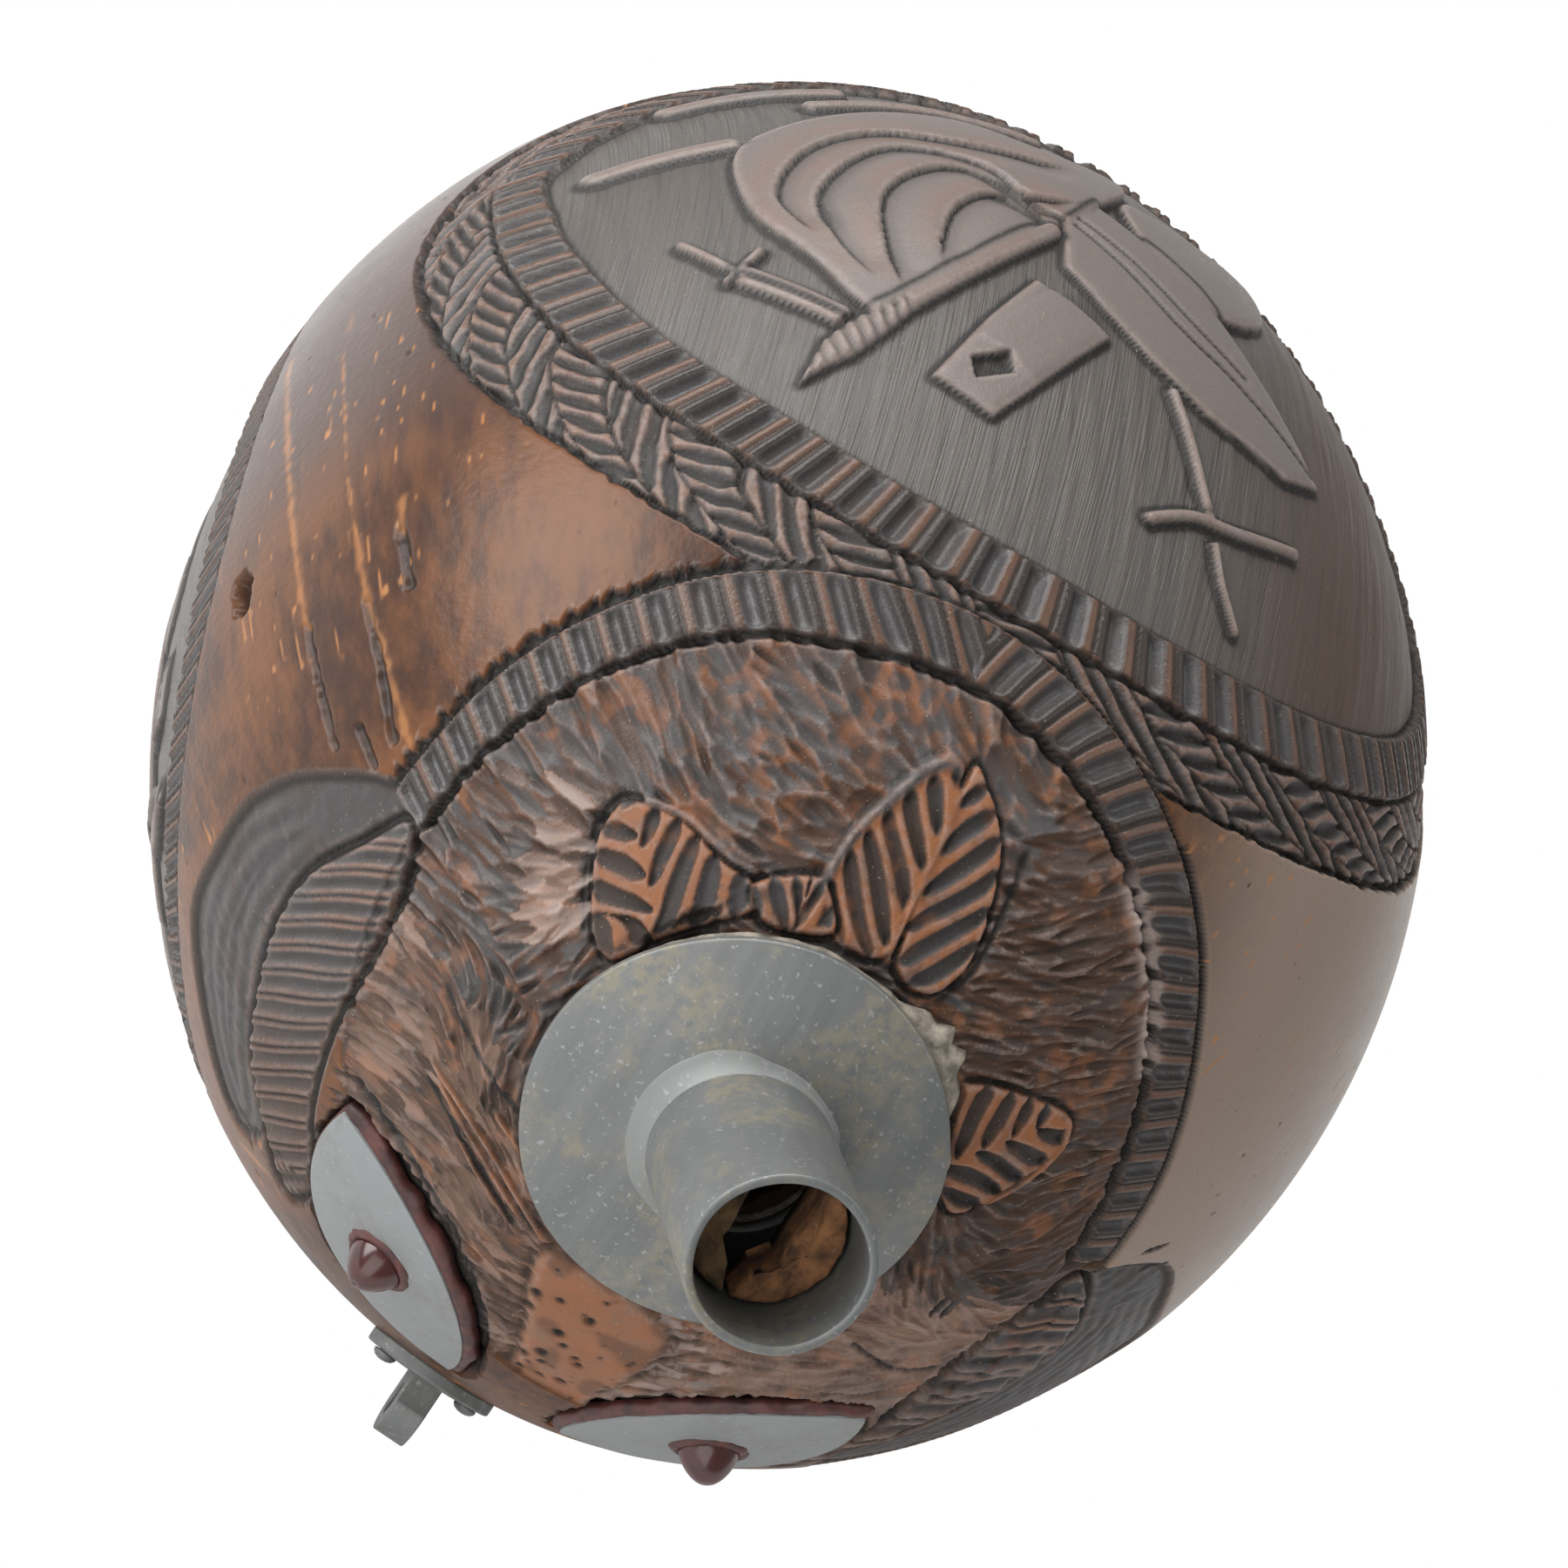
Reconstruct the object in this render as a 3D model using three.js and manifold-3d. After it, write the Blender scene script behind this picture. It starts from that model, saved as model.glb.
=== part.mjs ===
// A carved coconut flask: a whole coconut shell with a pewter spout set in the mouth of the face
// carved on one end, pewter eyes with paste beads, a carrying loop on the forehead and three
// sunk oval panels round the sides. Millimetres. +Z is up, the face looks along -Y and the origin
// is the middle of the small worn flat that the flask lies on.
import * as THREE from "three";
import { mergeVertices } from "three/addons/utils/BufferGeometryUtils.js";
import Module from "manifold-3d";

const wasm = await Module();
wasm.setup();

// The nut
const nutRadius = 52;
const nutHalfLength = 62.4;
const eggTaper = 0.01; // the tail end is this much fuller than the face end
const ridgeRise = 0.007; // the three ridges of the nut stand this much above a round section
const shellWall = 4.2;
const restFlatDepth = 0.35; // worn off the lowest ridge
const meshTolerance = 0.02;
const nutStepsRound = 48;
const nutStepsLong = 24;

// Space left between two pieces that touch
const seatGap = 0.3;

// Spout: a pewter tube through a dished pewter flange, bedded in pitch on the shell
const spoutAzimuth = -17.6;
const spoutLatitude = -74.1;
const flangeDiameter = 31.2;
const flangeThickness = 0.8;
const flangeDish = nutRadius; // radius of the dished underside
const beddingThickness = 0.4;
const beddingMargin = 0.5; // the bedding stops this far inside the flange's edge
const tubeOuterDiameter = 13.7;
const tubeWall = 0.76;
const tubeLength = 20; // from the flange to the lip
const tubeLipChamfer = 0.3;
const tubeLeanSideways = 7.8;
const tubeLeanUp = 7.5;
const tubeShiftSideways = 0.7; // from the flange's middle to the tube's foot
const tubeShiftUp = -0.5;
const solderWidth = 1.4;
const solderHeight = 0.9;
const solderShift = 0.4; // the fillet is this much wider on the side that the tube leans away from
const mouthHoleWidth = 9.4;
const mouthHoleHeight = 8.6;
const corkDepth = 6.5; // from the lip to the two pieces of broken cork
const corkLength = 5.1;
const corkGapWidth = 4.7; // between the two pieces, open at the top of the bore

// Eyes: pewter plates in red wax, each with a pointed bead
// Each eye's middle in the front view, its slant with the outer corner towards the mouth, and its size
const rightEye = { x: -18.2, z: -18.5, slant: 45, length: 27.3, width: 13.6, side: -1 };
const leftEye = { x: 11.5, z: -18.8, slant: 54, length: 26, width: 14.8, side: 1 };
const eyePlateThickness = 0.7;
const eyePlateProud = 0.3;
const waxMargin = 1.3;
const waxFloor = 0.7;
const beadRadius = 2.4;
const beadHeight = 3.5;
const beadSunk = 0.5;
const waxCupWall = 0.6;

// Carrying loop on the forehead: a lug on a small plate with two pins
const loopAzimuth = -170;
const loopLatitude = -46.5;
const loopPlateLength = 11.5;
const loopPlateWidth = 8;
const loopPlateThickness = 0.8;
const loopTurn = 8; // of the lug about the plate's normal
const loopWidth = 6;
const loopHeight = 5.3;
const loopThickness = 2.7;
const loopHoleDiameter = 3;
const loopPinDiameter = 1.2;
const loopPinHeadDiameter = 2;
const loopPinLength = 3;
const loopPinSpacing = 7.8;

// Carving depths
const panelDepth = 0.9;
const leafBandDepth = 0.4;
const faceDepth = 0.5;
const grooveDepth = 0.6;
const grooveWidth = 0.8;
const carvingClearance = 3; // how far cutting tools reach out over the surface

// Face layout, seen from the front (x to the side, z up, from the nut's axis)
const faceMiddle = -2.5;
const maskMiddle = -3.6;
const maskCentreHeight = 11.7;
const maskRadius = 31.2; // middle of the ladder band round the mask
const maskLadderWidth = 4.4;
const ladderWidth = 4.9; // of the bands round the oval panels
// The ladder arch ends above a line that falls from the right ear to the left
const archFootRight = 16.3;
const archFootLeft = 8.7;
const noseHeight = -13;
const noseRadiusWide = 6.4;
const noseRadiusHigh = 9.2;
const noseRadiusDeep = 4;
const noseRise = 0.8;

// Oval panels, seen square on (u round the nut, v along it)
const topPanel = { azimuth: 0, u: 0, v: 7.1, radiusU: 42.4, radiusV: 34.5 };
const sidePanel = { azimuth: 127.5, u: 0, v: 3.5, radiusU: 36, radiusV: 39 };
const leafBandRadiusU = topPanel.radiusU + 5.7;
const leafBandRadiusV = topPanel.radiusV + 9.7;

const colours = {
  shell: { color: 0x4a3022, roughness: 0.5, metalness: 0 },
  pewter: { color: 0x8c9090, roughness: 0.5, metalness: 0.85 },
  solder: { color: 0xa2a6a4, roughness: 0.6, metalness: 0.8 },
  pitch: { color: 0x6b6250, roughness: 0.95, metalness: 0 },
  wax: { color: 0x4c1a16, roughness: 0.6, metalness: 0 },
  bead: { color: 0x571a17, roughness: 0.18, metalness: 0 },
  cork: { color: 0x7a4a26, roughness: 0.95, metalness: 0 },
};

const rad = THREE.MathUtils.degToRad;

// A closed three.js geometry as a solid that can be joined and cut
function solid(geometry, placement = new THREE.Matrix4()) {
  const plain = geometry.index ? geometry.toNonIndexed() : geometry.clone();
  plain.deleteAttribute("normal");
  plain.deleteAttribute("uv");
  plain.applyMatrix4(placement);
  const merged = mergeVertices(plain, 1e-4);
  const vertProperties = new Float32Array(merged.attributes.position.array);
  const triVerts = new Uint32Array(merged.index.array);
  return new wasm.Manifold(new wasm.Mesh({ numProp: 3, vertProperties, triVerts }));
}

function geometryOf(body) {
  const mesh = body.asOriginal().simplify(meshTolerance).getMesh();
  const geometry = new THREE.BufferGeometry();
  geometry.setAttribute("position", new THREE.BufferAttribute(mesh.vertProperties, 3));
  geometry.setIndex(new THREE.BufferAttribute(mesh.triVerts, 1));
  geometry.computeVertexNormals();
  return geometry;
}

// Point of the nut's surface, raised by rise, at an azimuth from the top and a latitude
// that is -90 at the face end and 90 at the tail
function nutPoint(azimuth, latitude, rise = 0) {
  const lat = rad(latitude);
  const ridge = 1 + ridgeRise * Math.cos(3 * rad(azimuth - 60)) * Math.cos(lat);
  const girth = (nutRadius + rise) * Math.cos(lat) * (1 + eggTaper * Math.sin(lat)) * ridge;
  const along = (nutHalfLength + rise) * Math.sin(lat);
  return new THREE.Vector3(girth * Math.sin(rad(azimuth)), along, girth * Math.cos(rad(azimuth)));
}

function nutNormal(azimuth, latitude) {
  const step = 0.5;
  const round = nutPoint(azimuth + step, latitude).sub(nutPoint(azimuth - step, latitude));
  const along = nutPoint(azimuth, latitude + step).sub(nutPoint(azimuth, latitude - step));
  return round.cross(along).normalize();
}

// The nut as one closed body, raised or sunk by rise
function nutSolid(rise, stepsRound = nutStepsRound, stepsLong = nutStepsLong) {
  const positions = [];
  for (let row = 1; row < stepsLong; row += 1) {
    for (let step = 0; step < stepsRound; step += 1) {
      const latitude = -90 + (180 * row) / stepsLong;
      positions.push(...nutPoint((360 * step) / stepsRound, latitude, rise).toArray());
    }
  }
  const facePole = positions.length / 3;
  positions.push(...nutPoint(0, -90, rise).toArray(), ...nutPoint(0, 90, rise).toArray());
  const triangles = [];
  const lastRow = (stepsLong - 2) * stepsRound;
  for (let step = 0; step < stepsRound; step += 1) {
    const next = (step + 1) % stepsRound;
    triangles.push(facePole, next, step);
    triangles.push(facePole + 1, lastRow + step, lastRow + next);
    for (let row = 0; row < stepsLong - 2; row += 1) {
      const near = row * stepsRound;
      const far = near + stepsRound;
      triangles.push(near + step, near + next, far + step);
      triangles.push(near + next, far + next, far + step);
    }
  }
  const geometry = new THREE.BufferGeometry();
  geometry.setAttribute("position", new THREE.Float32BufferAttribute(positions, 3));
  geometry.setIndex(triangles);
  return solid(geometry);
}

// Placements: a drawing's x and y lie across the view and its depth comes towards the viewer
const frontView = new THREE.Matrix4().makeBasis(
  new THREE.Vector3(1, 0, 0),
  new THREE.Vector3(0, 0, 1),
  new THREE.Vector3(0, -1, 0),
);

function sideView(azimuth) {
  return new THREE.Matrix4().makeRotationY(rad(azimuth));
}

// A frame on the surface: z points outwards and x along a heading, laid on the surface
function surfaceFrame(azimuth, latitude, heading, rise = 0) {
  const outwards = nutNormal(azimuth, latitude);
  const ahead = heading.clone().addScaledVector(outwards, -heading.dot(outwards)).normalize();
  const aside = new THREE.Vector3().crossVectors(outwards, ahead);
  const frame = new THREE.Matrix4().makeBasis(ahead, aside, outwards);
  return frame.setPosition(nutPoint(azimuth, latitude).addScaledVector(outwards, rise));
}

function prism(shape, placement, from, to, curveSegments = 8) {
  const settings = { depth: to - from, bevelEnabled: false, curveSegments };
  const geometry = new THREE.ExtrudeGeometry(shape, settings);
  geometry.translate(0, 0, from);
  return solid(geometry, placement);
}

// The part of a prism that lies between two depths under or over the nut's surface
const surfaces = new Map();
function surfaceAt(rise) {
  if (!surfaces.has(rise)) surfaces.set(rise, nutSolid(rise));
  return surfaces.get(rise);
}

function layer(body, low, high) {
  return body.intersect(surfaceAt(high)).subtract(surfaceAt(low));
}

function ellipseShape(x, y, radiusX, radiusY, turn = 0) {
  const shape = new THREE.Shape();
  shape.absellipse(x, y, radiusX, radiusY, 0, 2 * Math.PI, false, rad(turn));
  return shape;
}

// A closed outline through a few points, smooth or with corners
function outline(points, smooth = false) {
  const corners = points.map(([x, y]) => new THREE.Vector2(x, y));
  if (!smooth) return new THREE.Shape(corners);
  const curve = new THREE.SplineCurve([...corners, corners[0]]);
  return new THREE.Shape(curve.getPoints(points.length * 2).slice(0, -1));
}

// A straight bar between two points
function bar([x0, y0], [x1, y1], width) {
  const length = Math.hypot(x1 - x0, y1 - y0);
  const sideX = ((y0 - y1) / length) * (width / 2);
  const sideY = ((x1 - x0) / length) * (width / 2);
  const oneSide = [[x0 - sideX, y0 - sideY], [x1 - sideX, y1 - sideY]];
  return outline([...oneSide, [x1 + sideX, y1 + sideY], [x0 + sideX, y0 + sideY]]);
}

// A pointed leaf from its stalk to its tip
function leaf([x0, y0], [x1, y1], width, steps = 5) {
  const length = Math.hypot(x1 - x0, y1 - y0);
  const aheadX = (x1 - x0) / length;
  const aheadY = (y1 - y0) / length;
  const points = [];
  for (const side of [1, -1]) {
    for (let step = 0; step < steps; step += 1) {
      const along = side > 0 ? step / steps : 1 - step / steps;
      const half = (side * width * Math.sin(Math.PI * along ** 0.85)) / 2;
      const run = along * length;
      points.push([x0 + aheadX * run - aheadY * half, y0 + aheadY * run + aheadX * half]);
    }
  }
  return outline(points);
}

// An almond with two pointed corners on the x axis
function almond(length, width, margin = 0) {
  const halfWidth = width / 2;
  const radius = (length * length) / 4 / width + halfWidth / 2;
  const reach = Math.asin(length / 2 / radius);
  const shape = new THREE.Shape();
  shape.absarc(0, halfWidth - radius, radius + margin, Math.PI / 2 - reach, Math.PI / 2 + reach, false);
  shape.absarc(0, radius - halfWidth, radius + margin, -Math.PI / 2 - reach, -Math.PI / 2 + reach, false);
  return shape;
}

const nut = surfaceAt(0);
const far = nutRadius + carvingClearance * 2;

// Trophy of arms in the top panel: flag, spear, musket, tackle block, blade, anchor and poles
const flagPoints = [
  [-30, 12.4], [-27, 18], [-20, 22.5], [-13, 25], [-6, 26], [0, 27.5],
  [-6, 10.5], [-16.9, -5.2], [-19.2, -7], [-24, -1.8], [-28.6, 3.7],
];
const topMotifs = [
  outline(flagPoints, true),
  bar([-5.4, 9.6], [-20.4, -11.5], 2),
  outline([[-19, -11], [-23, -16.2], [-21.8, -9.6]]),
  bar([-32.6, 0.2], [-28, -4.2], 1.4),
  bar([-29, -2.6], [-20.4, -7.2], 2.8),
  bar([-38.4, 11.6], [-30, 15.4], 2),
  outline([[-6, 15], [0, 6.6], [9.6, -1.3], [20.6, 0.9], [13.9, 7.6], [7.6, 14.6], [-2, 20]]),
  ellipseShape(7.5, 20.3, 7.6, 4.2, -18),
  bar([1, -1.2], [6.2, -4.8], 0.9),
  bar([6.2, -4.8], [10.3, -12.6], 1.2),
  outline([[5.6, -16.4], [10.6, -15.6], [17.8, -11.2], [17.4, -10], [10.6, -13.2], [6, -14.8]]),
  bar([11.6, -15], [14.9, -19.8], 1),
  bar([-34, 24.5], [-24, 31], 2),
];
const blockShape = outline([[-13.6, -12.4], [-8.2, -14.2], [0.4, 0], [-7.2, 3.2]]);
blockShape.holes.push(bar([-11.4, -10.2], [-8.8, -10.8], 2.2));
topMotifs.push(blockShape);

// Leaf sprays either side of a rosette of petals or a star
function sprayMotifs(petals, starTip) {
  const shapes = [];
  const stemRadius = 17;
  const leavesOnStem = 5;
  for (const side of [-1, 1]) {
    for (let step = 0; step < leavesOnStem; step += 1) {
      const turn = rad(-64 + (118 * step) / (leavesOnStem - 1));
      const root = [side * stemRadius * Math.cos(turn), stemRadius * Math.sin(turn) * 1.2];
      const heading = turn + rad(58);
      const tip = [root[0] + side * 9 * Math.cos(heading), root[1] + 10 * Math.sin(heading)];
      shapes.push(leaf(root, tip, 4.6, 3));
    }
  }
  for (let step = 0; step < petals; step += 1) {
    const turn = (2 * Math.PI * step) / petals;
    const tip = [starTip * Math.sin(turn), 4 + starTip * Math.cos(turn)];
    shapes.push(leaf([0.16 * tip[0], 4 + 0.16 * (tip[1] - 4)], tip, starTip * 0.62, 3));
  }
  shapes.push(bar([0, -13], [0, -30], 2.2));
  return shapes;
}

// Sunk oval field of a panel with its motifs left standing
function panelCut(panel, azimuth, motifs) {
  const view = sideView(azimuth);
  const inset = ladderWidth / 2;
  const field = ellipseShape(panel.u, panel.v, panel.radiusU - inset, panel.radiusV - inset);
  let cut = layer(prism(field, view, 0, far, 16), -panelDepth, carvingClearance);
  for (const motif of motifs) cut = cut.subtract(prism(motif, view, 0, far + 1));
  return cut;
}

// Round region of the mask, seen from the front
function maskDisc(radius) {
  const disc = ellipseShape(maskMiddle, maskCentreHeight, radius, radius);
  return prism(disc, frontView, 0, nutHalfLength + 6, 14);
}

// Band of carved leaves outside the top panel's ladder, stopped by the mask
function leafBandCut() {
  const outer = ellipseShape(topPanel.u, topPanel.v, leafBandRadiusU, leafBandRadiusV);
  const innerU = topPanel.radiusU + ladderWidth / 2;
  const innerV = topPanel.radiusV + ladderWidth / 2;
  outer.holes.push(ellipseShape(topPanel.u, topPanel.v, innerU, innerV));
  const band = layer(prism(outer, sideView(0), 0, far, 16), -leafBandDepth, carvingClearance);
  return band.subtract(maskDisc(maskRadius + maskLadderWidth / 2 + grooveWidth / 2));
}

// Drawings of the face for the flask's right side; the left side mirrors them about faceMiddle
const browPoints = [
  [31.5, 13], [34.3, 8], [35.2, 2], [34.8, -4], [33, -10], [29.6, -16],
  [25, -20.6], [23.4, -20.4], [25.4, -14.5], [28, -8], [29.2, -1], [29.6, 7],
];
const earPoints = [
  [37.6, -13], [40.4, -7], [40.8, -1], [39, 5], [34.6, 12], [36.4, 6], [37.2, -1], [36.2, -8], [33.6, -15],
];
const muzzleLeaves = [
  [[-18.2, 18.4], [-23.4, 28], 7.6],
  [[-4.4, 28.4], [-2, 38.4], 6.4],
  [[1.2, 28], [0.4, 39], 6.2],
  [[9.6, 19.6], [18.2, 22.2], 8.2],
];

function mirrored(points) {
  return points.map(([x, z]) => [faceMiddle + (faceMiddle - x), z]).reverse();
}

function fromMiddle(points) {
  return points.map(([x, z]) => [x + faceMiddle, z]);
}

function faceSides(points) {
  const right = fromMiddle(points);
  return [right, mirrored(right)];
}

// Hair round the mouth, cut down to leave the muzzle leaves, brows and nose standing
function faceCut() {
  let cut = layer(maskDisc(maskRadius - maskLadderWidth / 2), -faceDepth, carvingClearance);
  const reach = nutHalfLength + 7;
  for (const [stalk, tip, width] of muzzleLeaves) {
    cut = cut.subtract(prism(leaf(stalk, tip, width), frontView, 0, reach));
  }
  for (const points of faceSides(browPoints)) {
    cut = cut.subtract(prism(outline(points, true), frontView, 0, reach));
  }
  const nose = ellipseShape(faceMiddle, noseHeight, noseRadiusWide, noseRadiusHigh);
  return cut.subtract(prism(nose, frontView, 0, reach));
}

// Groove that sets off each brow, and the sunk ear behind it
function browCuts() {
  const cuts = [];
  const reach = nutHalfLength + 6;
  for (const points of faceSides(earPoints)) {
    cuts.push(layer(prism(outline(points, true), frontView, 0, reach), -grooveDepth, carvingClearance));
  }
  for (const points of faceSides(browPoints)) {
    const middleX = points.reduce((sum, [x]) => sum + x, 0) / points.length;
    const middleZ = points.reduce((sum, [, z]) => sum + z, 0) / points.length;
    const wider = points.map(([x, z]) => {
      const away = Math.hypot(x - middleX, z - middleZ);
      return [x + ((x - middleX) / away) * grooveWidth, z + ((z - middleZ) / away) * grooveWidth];
    });
    const brow = prism(outline(points, true), frontView, -1, reach + 1);
    const ring = prism(outline(wider, true), frontView, 0, reach).subtract(brow);
    cuts.push(layer(ring, -grooveDepth, carvingClearance));
  }
  return cuts;
}

// Groove over the outside of the mask's ladder band, which is an arch from ear to ear
function maskGroove() {
  const inner = maskRadius + maskLadderWidth / 2;
  const side = maskRadius * 2;
  const above = outline([[-side, archFootRight], [side, archFootLeft], [side, side], [-side, side]]);
  const ring = maskDisc(inner + grooveWidth).subtract(maskDisc(inner));
  const arch = ring.intersect(prism(above, frontView, 0, nutHalfLength + 7));
  return layer(arch, -grooveDepth, carvingClearance);
}

const sideways = new THREE.Vector3(1, 0, 0);
const spoutFrame = surfaceFrame(spoutAzimuth, spoutLatitude, sideways);
const tubeFrame = spoutFrame.clone()
  .multiply(new THREE.Matrix4().makeTranslation(tubeShiftSideways, tubeShiftUp, 0))
  .multiply(new THREE.Matrix4().makeRotationX(rad(-tubeLeanUp)))
  .multiply(new THREE.Matrix4().makeRotationY(rad(tubeLeanSideways)));

// Broken hole through the shell under the spout
function mouthHole() {
  const jags = [1, 0.92, 1.04, 0.94, 1.05, 0.91, 1, 0.95, 1.05, 0.92];
  const points = jags.map((jag, step) => {
    const turn = (2 * Math.PI * step) / jags.length;
    return [(jag * mouthHoleWidth * Math.cos(turn)) / 2, (jag * mouthHoleHeight * Math.sin(turn)) / 2];
  });
  return prism(outline(points), tubeFrame, -shellWall * 3, carvingClearance);
}

function eyeFrame(eye) {
  const azimuth = THREE.MathUtils.radToDeg(Math.atan2(eye.x, eye.z));
  const latitude = -THREE.MathUtils.radToDeg(Math.acos(Math.hypot(eye.x, eye.z) / nutRadius));
  const heading = new THREE.Vector3(eye.side * Math.cos(rad(eye.slant)), 0, Math.sin(rad(eye.slant)));
  return surfaceFrame(azimuth, latitude, heading);
}

const socketDepth = eyePlateThickness - eyePlateProud + 2 * seatGap + waxFloor;
const plateUnder = eyePlateProud - eyePlateThickness;

function eyePrism(eye, margin) {
  return prism(almond(eye.length, eye.width, margin), eyeFrame(eye), -6, 6, 12);
}

function shellSolid() {
  const reliefUp = solid(
    new THREE.SphereGeometry(1, 20, 12),
    new THREE.Matrix4().makeScale(noseRadiusWide, noseRadiusDeep, noseRadiusHigh).setPosition(nosePoint()),
  );
  let body = nut.add(reliefUp.intersect(surfaceAt(noseRise)));
  body = body.subtract(panelCut(topPanel, topPanel.azimuth, topMotifs));
  body = body.subtract(panelCut(sidePanel, sidePanel.azimuth, sprayMotifs(6, 9)));
  body = body.subtract(panelCut(sidePanel, -sidePanel.azimuth, sprayMotifs(5, 10.5)));
  body = body.subtract(leafBandCut());
  body = body.subtract(faceCut());
  body = body.subtract(maskGroove());
  for (const cut of browCuts()) body = body.subtract(cut);
  for (const eye of [rightEye, leftEye]) {
    body = body.subtract(layer(eyePrism(eye, waxMargin + seatGap), -socketDepth, carvingClearance));
  }
  for (const side of [-1, 1]) body = body.subtract(loopPinHole(side));
  body = body.subtract(mouthHole());
  body = body.subtract(nutSolid(-shellWall, 32, 16));
  const restPlane = solid(
    new THREE.BoxGeometry(4 * nutRadius, 4 * nutRadius, nutRadius),
    new THREE.Matrix4().makeTranslation(0, 0, -axisHeight - nutRadius / 2),
  );
  return largest(body.subtract(restPlane));
}

// Without the crumbs that cuts can leave where their edges meet
function largest(body) {
  return body.decompose().reduce((most, piece) => (piece.volume() > most.volume() ? piece : most));
}

function nosePoint() {
  const reach = nutHalfLength * Math.sqrt(1 - (faceMiddle ** 2 + noseHeight ** 2) / nutRadius ** 2);
  return new THREE.Vector3(faceMiddle, noseRadiusDeep - noseRise * 2 - reach, noseHeight);
}

// Height of the nut's axis over the worn flat
const axisHeight = nutPoint(180, 0).length() - restFlatDepth;

// The seat of the flange is close to a sphere of this radius
const seatRadius = nutRadius * 0.865;
const seatLevel = -faceDepth + seatGap;

// Half of a dished disc's section between two radii, for turning on the flange's axis
function dishedRing(inner, outer, lowRadius, lowLevel, highRadius, highLevel, steps = 3) {
  const points = [];
  const drop = (radius, at) => radius - Math.sqrt(radius * radius - at * at);
  for (let step = 0; step <= steps; step += 1) {
    const at = inner + ((outer - inner) * step) / steps;
    points.push(new THREE.Vector2(at, lowLevel - drop(lowRadius, at)));
  }
  for (let step = steps; step >= 0; step -= 1) {
    const at = inner + ((outer - inner) * step) / steps;
    points.push(new THREE.Vector2(at, highLevel - drop(highRadius, at)));
  }
  points.push(points[0].clone());
  const geometry = new THREE.LatheGeometry(points, 48);
  return solid(geometry, new THREE.Matrix4().makeRotationX(Math.PI / 2));
}

const tubeRadius = tubeOuterDiameter / 2;
const flangeUnder = seatLevel + beddingThickness + seatGap;

function tubeCore(radius, from, to, segments = 40) {
  const geometry = new THREE.CylinderGeometry(radius, radius, to - from, segments);
  geometry.rotateX(Math.PI / 2);
  geometry.translate(0, 0, (from + to) / 2);
  return solid(geometry, tubeFrame);
}

function beddingSolid() {
  const outer = flangeDiameter / 2 - beddingMargin;
  const ring = dishedRing(4, outer, seatRadius, seatLevel, flangeDish, seatLevel + beddingThickness, 3);
  return ring.transform(manifoldMatrix(spoutFrame)).subtract(tubeCore(tubeRadius + seatGap, -5, 5));
}

function flangeSolid() {
  const top = flangeUnder + flangeThickness;
  const ring = dishedRing(4, flangeDiameter / 2, flangeDish, flangeUnder, flangeDish, top);
  return ring.transform(manifoldMatrix(spoutFrame)).subtract(tubeCore(tubeRadius + seatGap, -5, 5));
}

function manifoldMatrix(matrix) {
  return Array.from(matrix.elements);
}

function tubeSolid() {
  const bore = tubeRadius - tubeWall;
  const lip = flangeUnder + flangeThickness + tubeLength;
  const rim = [[tubeRadius, lip - tubeLipChamfer], [tubeRadius - tubeLipChamfer, lip], [bore, lip]];
  const profile = [[bore, -4], [tubeRadius, -4], ...rim, [bore, -4]];
  const turned = new THREE.LatheGeometry(profile.map(([x, y]) => new THREE.Vector2(x, y)), 40);
  turned.rotateX(Math.PI / 2);
  const seat = solid(
    new THREE.SphereGeometry(seatRadius, 96, 96),
    spoutFrame.clone().multiply(new THREE.Matrix4().makeTranslation(0, 0, seatLevel - seatRadius)),
  );
  return solid(turned, tubeFrame).subtract(seat);
}

// Piece of the cork that broke in the bore: its inner side runs down from the open gap to a crack
function corkSolid(side) {
  const radius = tubeRadius - tubeWall - seatGap;
  const half = corkGapWidth / 2 / radius;
  const inner = [[0.05, -0.98], [0.18, -0.64], [half, -0.38], [half, 0], [half + 0.02, 0.35], [half, 0.86]];
  const points = inner.map(([x, y]) => [side * radius * x, radius * y]);
  for (let turn = 60; turn > -86; turn -= 12) {
    points.push([side * radius * Math.cos(rad(turn)), radius * Math.sin(rad(turn))]);
  }
  const top = flangeUnder + flangeThickness + tubeLength - corkDepth;
  return prism(outline(side > 0 ? points.reverse() : points), tubeFrame, top - corkLength, top);
}

function solderSolid() {
  const low = flangeUnder + flangeThickness + seatGap;
  const inner = tubeRadius - solderWidth;
  const outer = tubeRadius + seatGap + solderWidth;
  const foot = low - 2;
  const top = low + solderHeight;
  const slope = [[outer, low - 0.4], [tubeRadius + seatGap, top], [inner, top]];
  const profile = [[inner, foot], [outer, foot], ...slope, [inner, foot]];
  const turned = new THREE.LatheGeometry(profile.map(([x, y]) => new THREE.Vector2(x, y)), 40);
  turned.rotateX(Math.PI / 2);
  const place = new THREE.Matrix4().makeTranslation(tubeShiftSideways - solderShift, tubeShiftUp, 0);
  const under = dishedRing(0, flangeDiameter / 2, flangeDish, -9, flangeDish, low, 6);
  return solid(turned, spoutFrame.clone().multiply(place))
    .subtract(under.transform(manifoldMatrix(spoutFrame)))
    .subtract(tubeCore(tubeRadius + seatGap, -5, 8));
}

function eyePlateSolid(eye) {
  const hole = prism(ellipseShape(0, 0, beadHoleRadius, beadHoleRadius), eyeFrame(eye), -6, 6, 10);
  return layer(eyePrism(eye, 0), plateUnder, eyePlateProud).subtract(hole);
}

const cupRadius = beadRadius + seatGap;
const beadHoleRadius = cupRadius + waxCupWall + seatGap;

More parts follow.
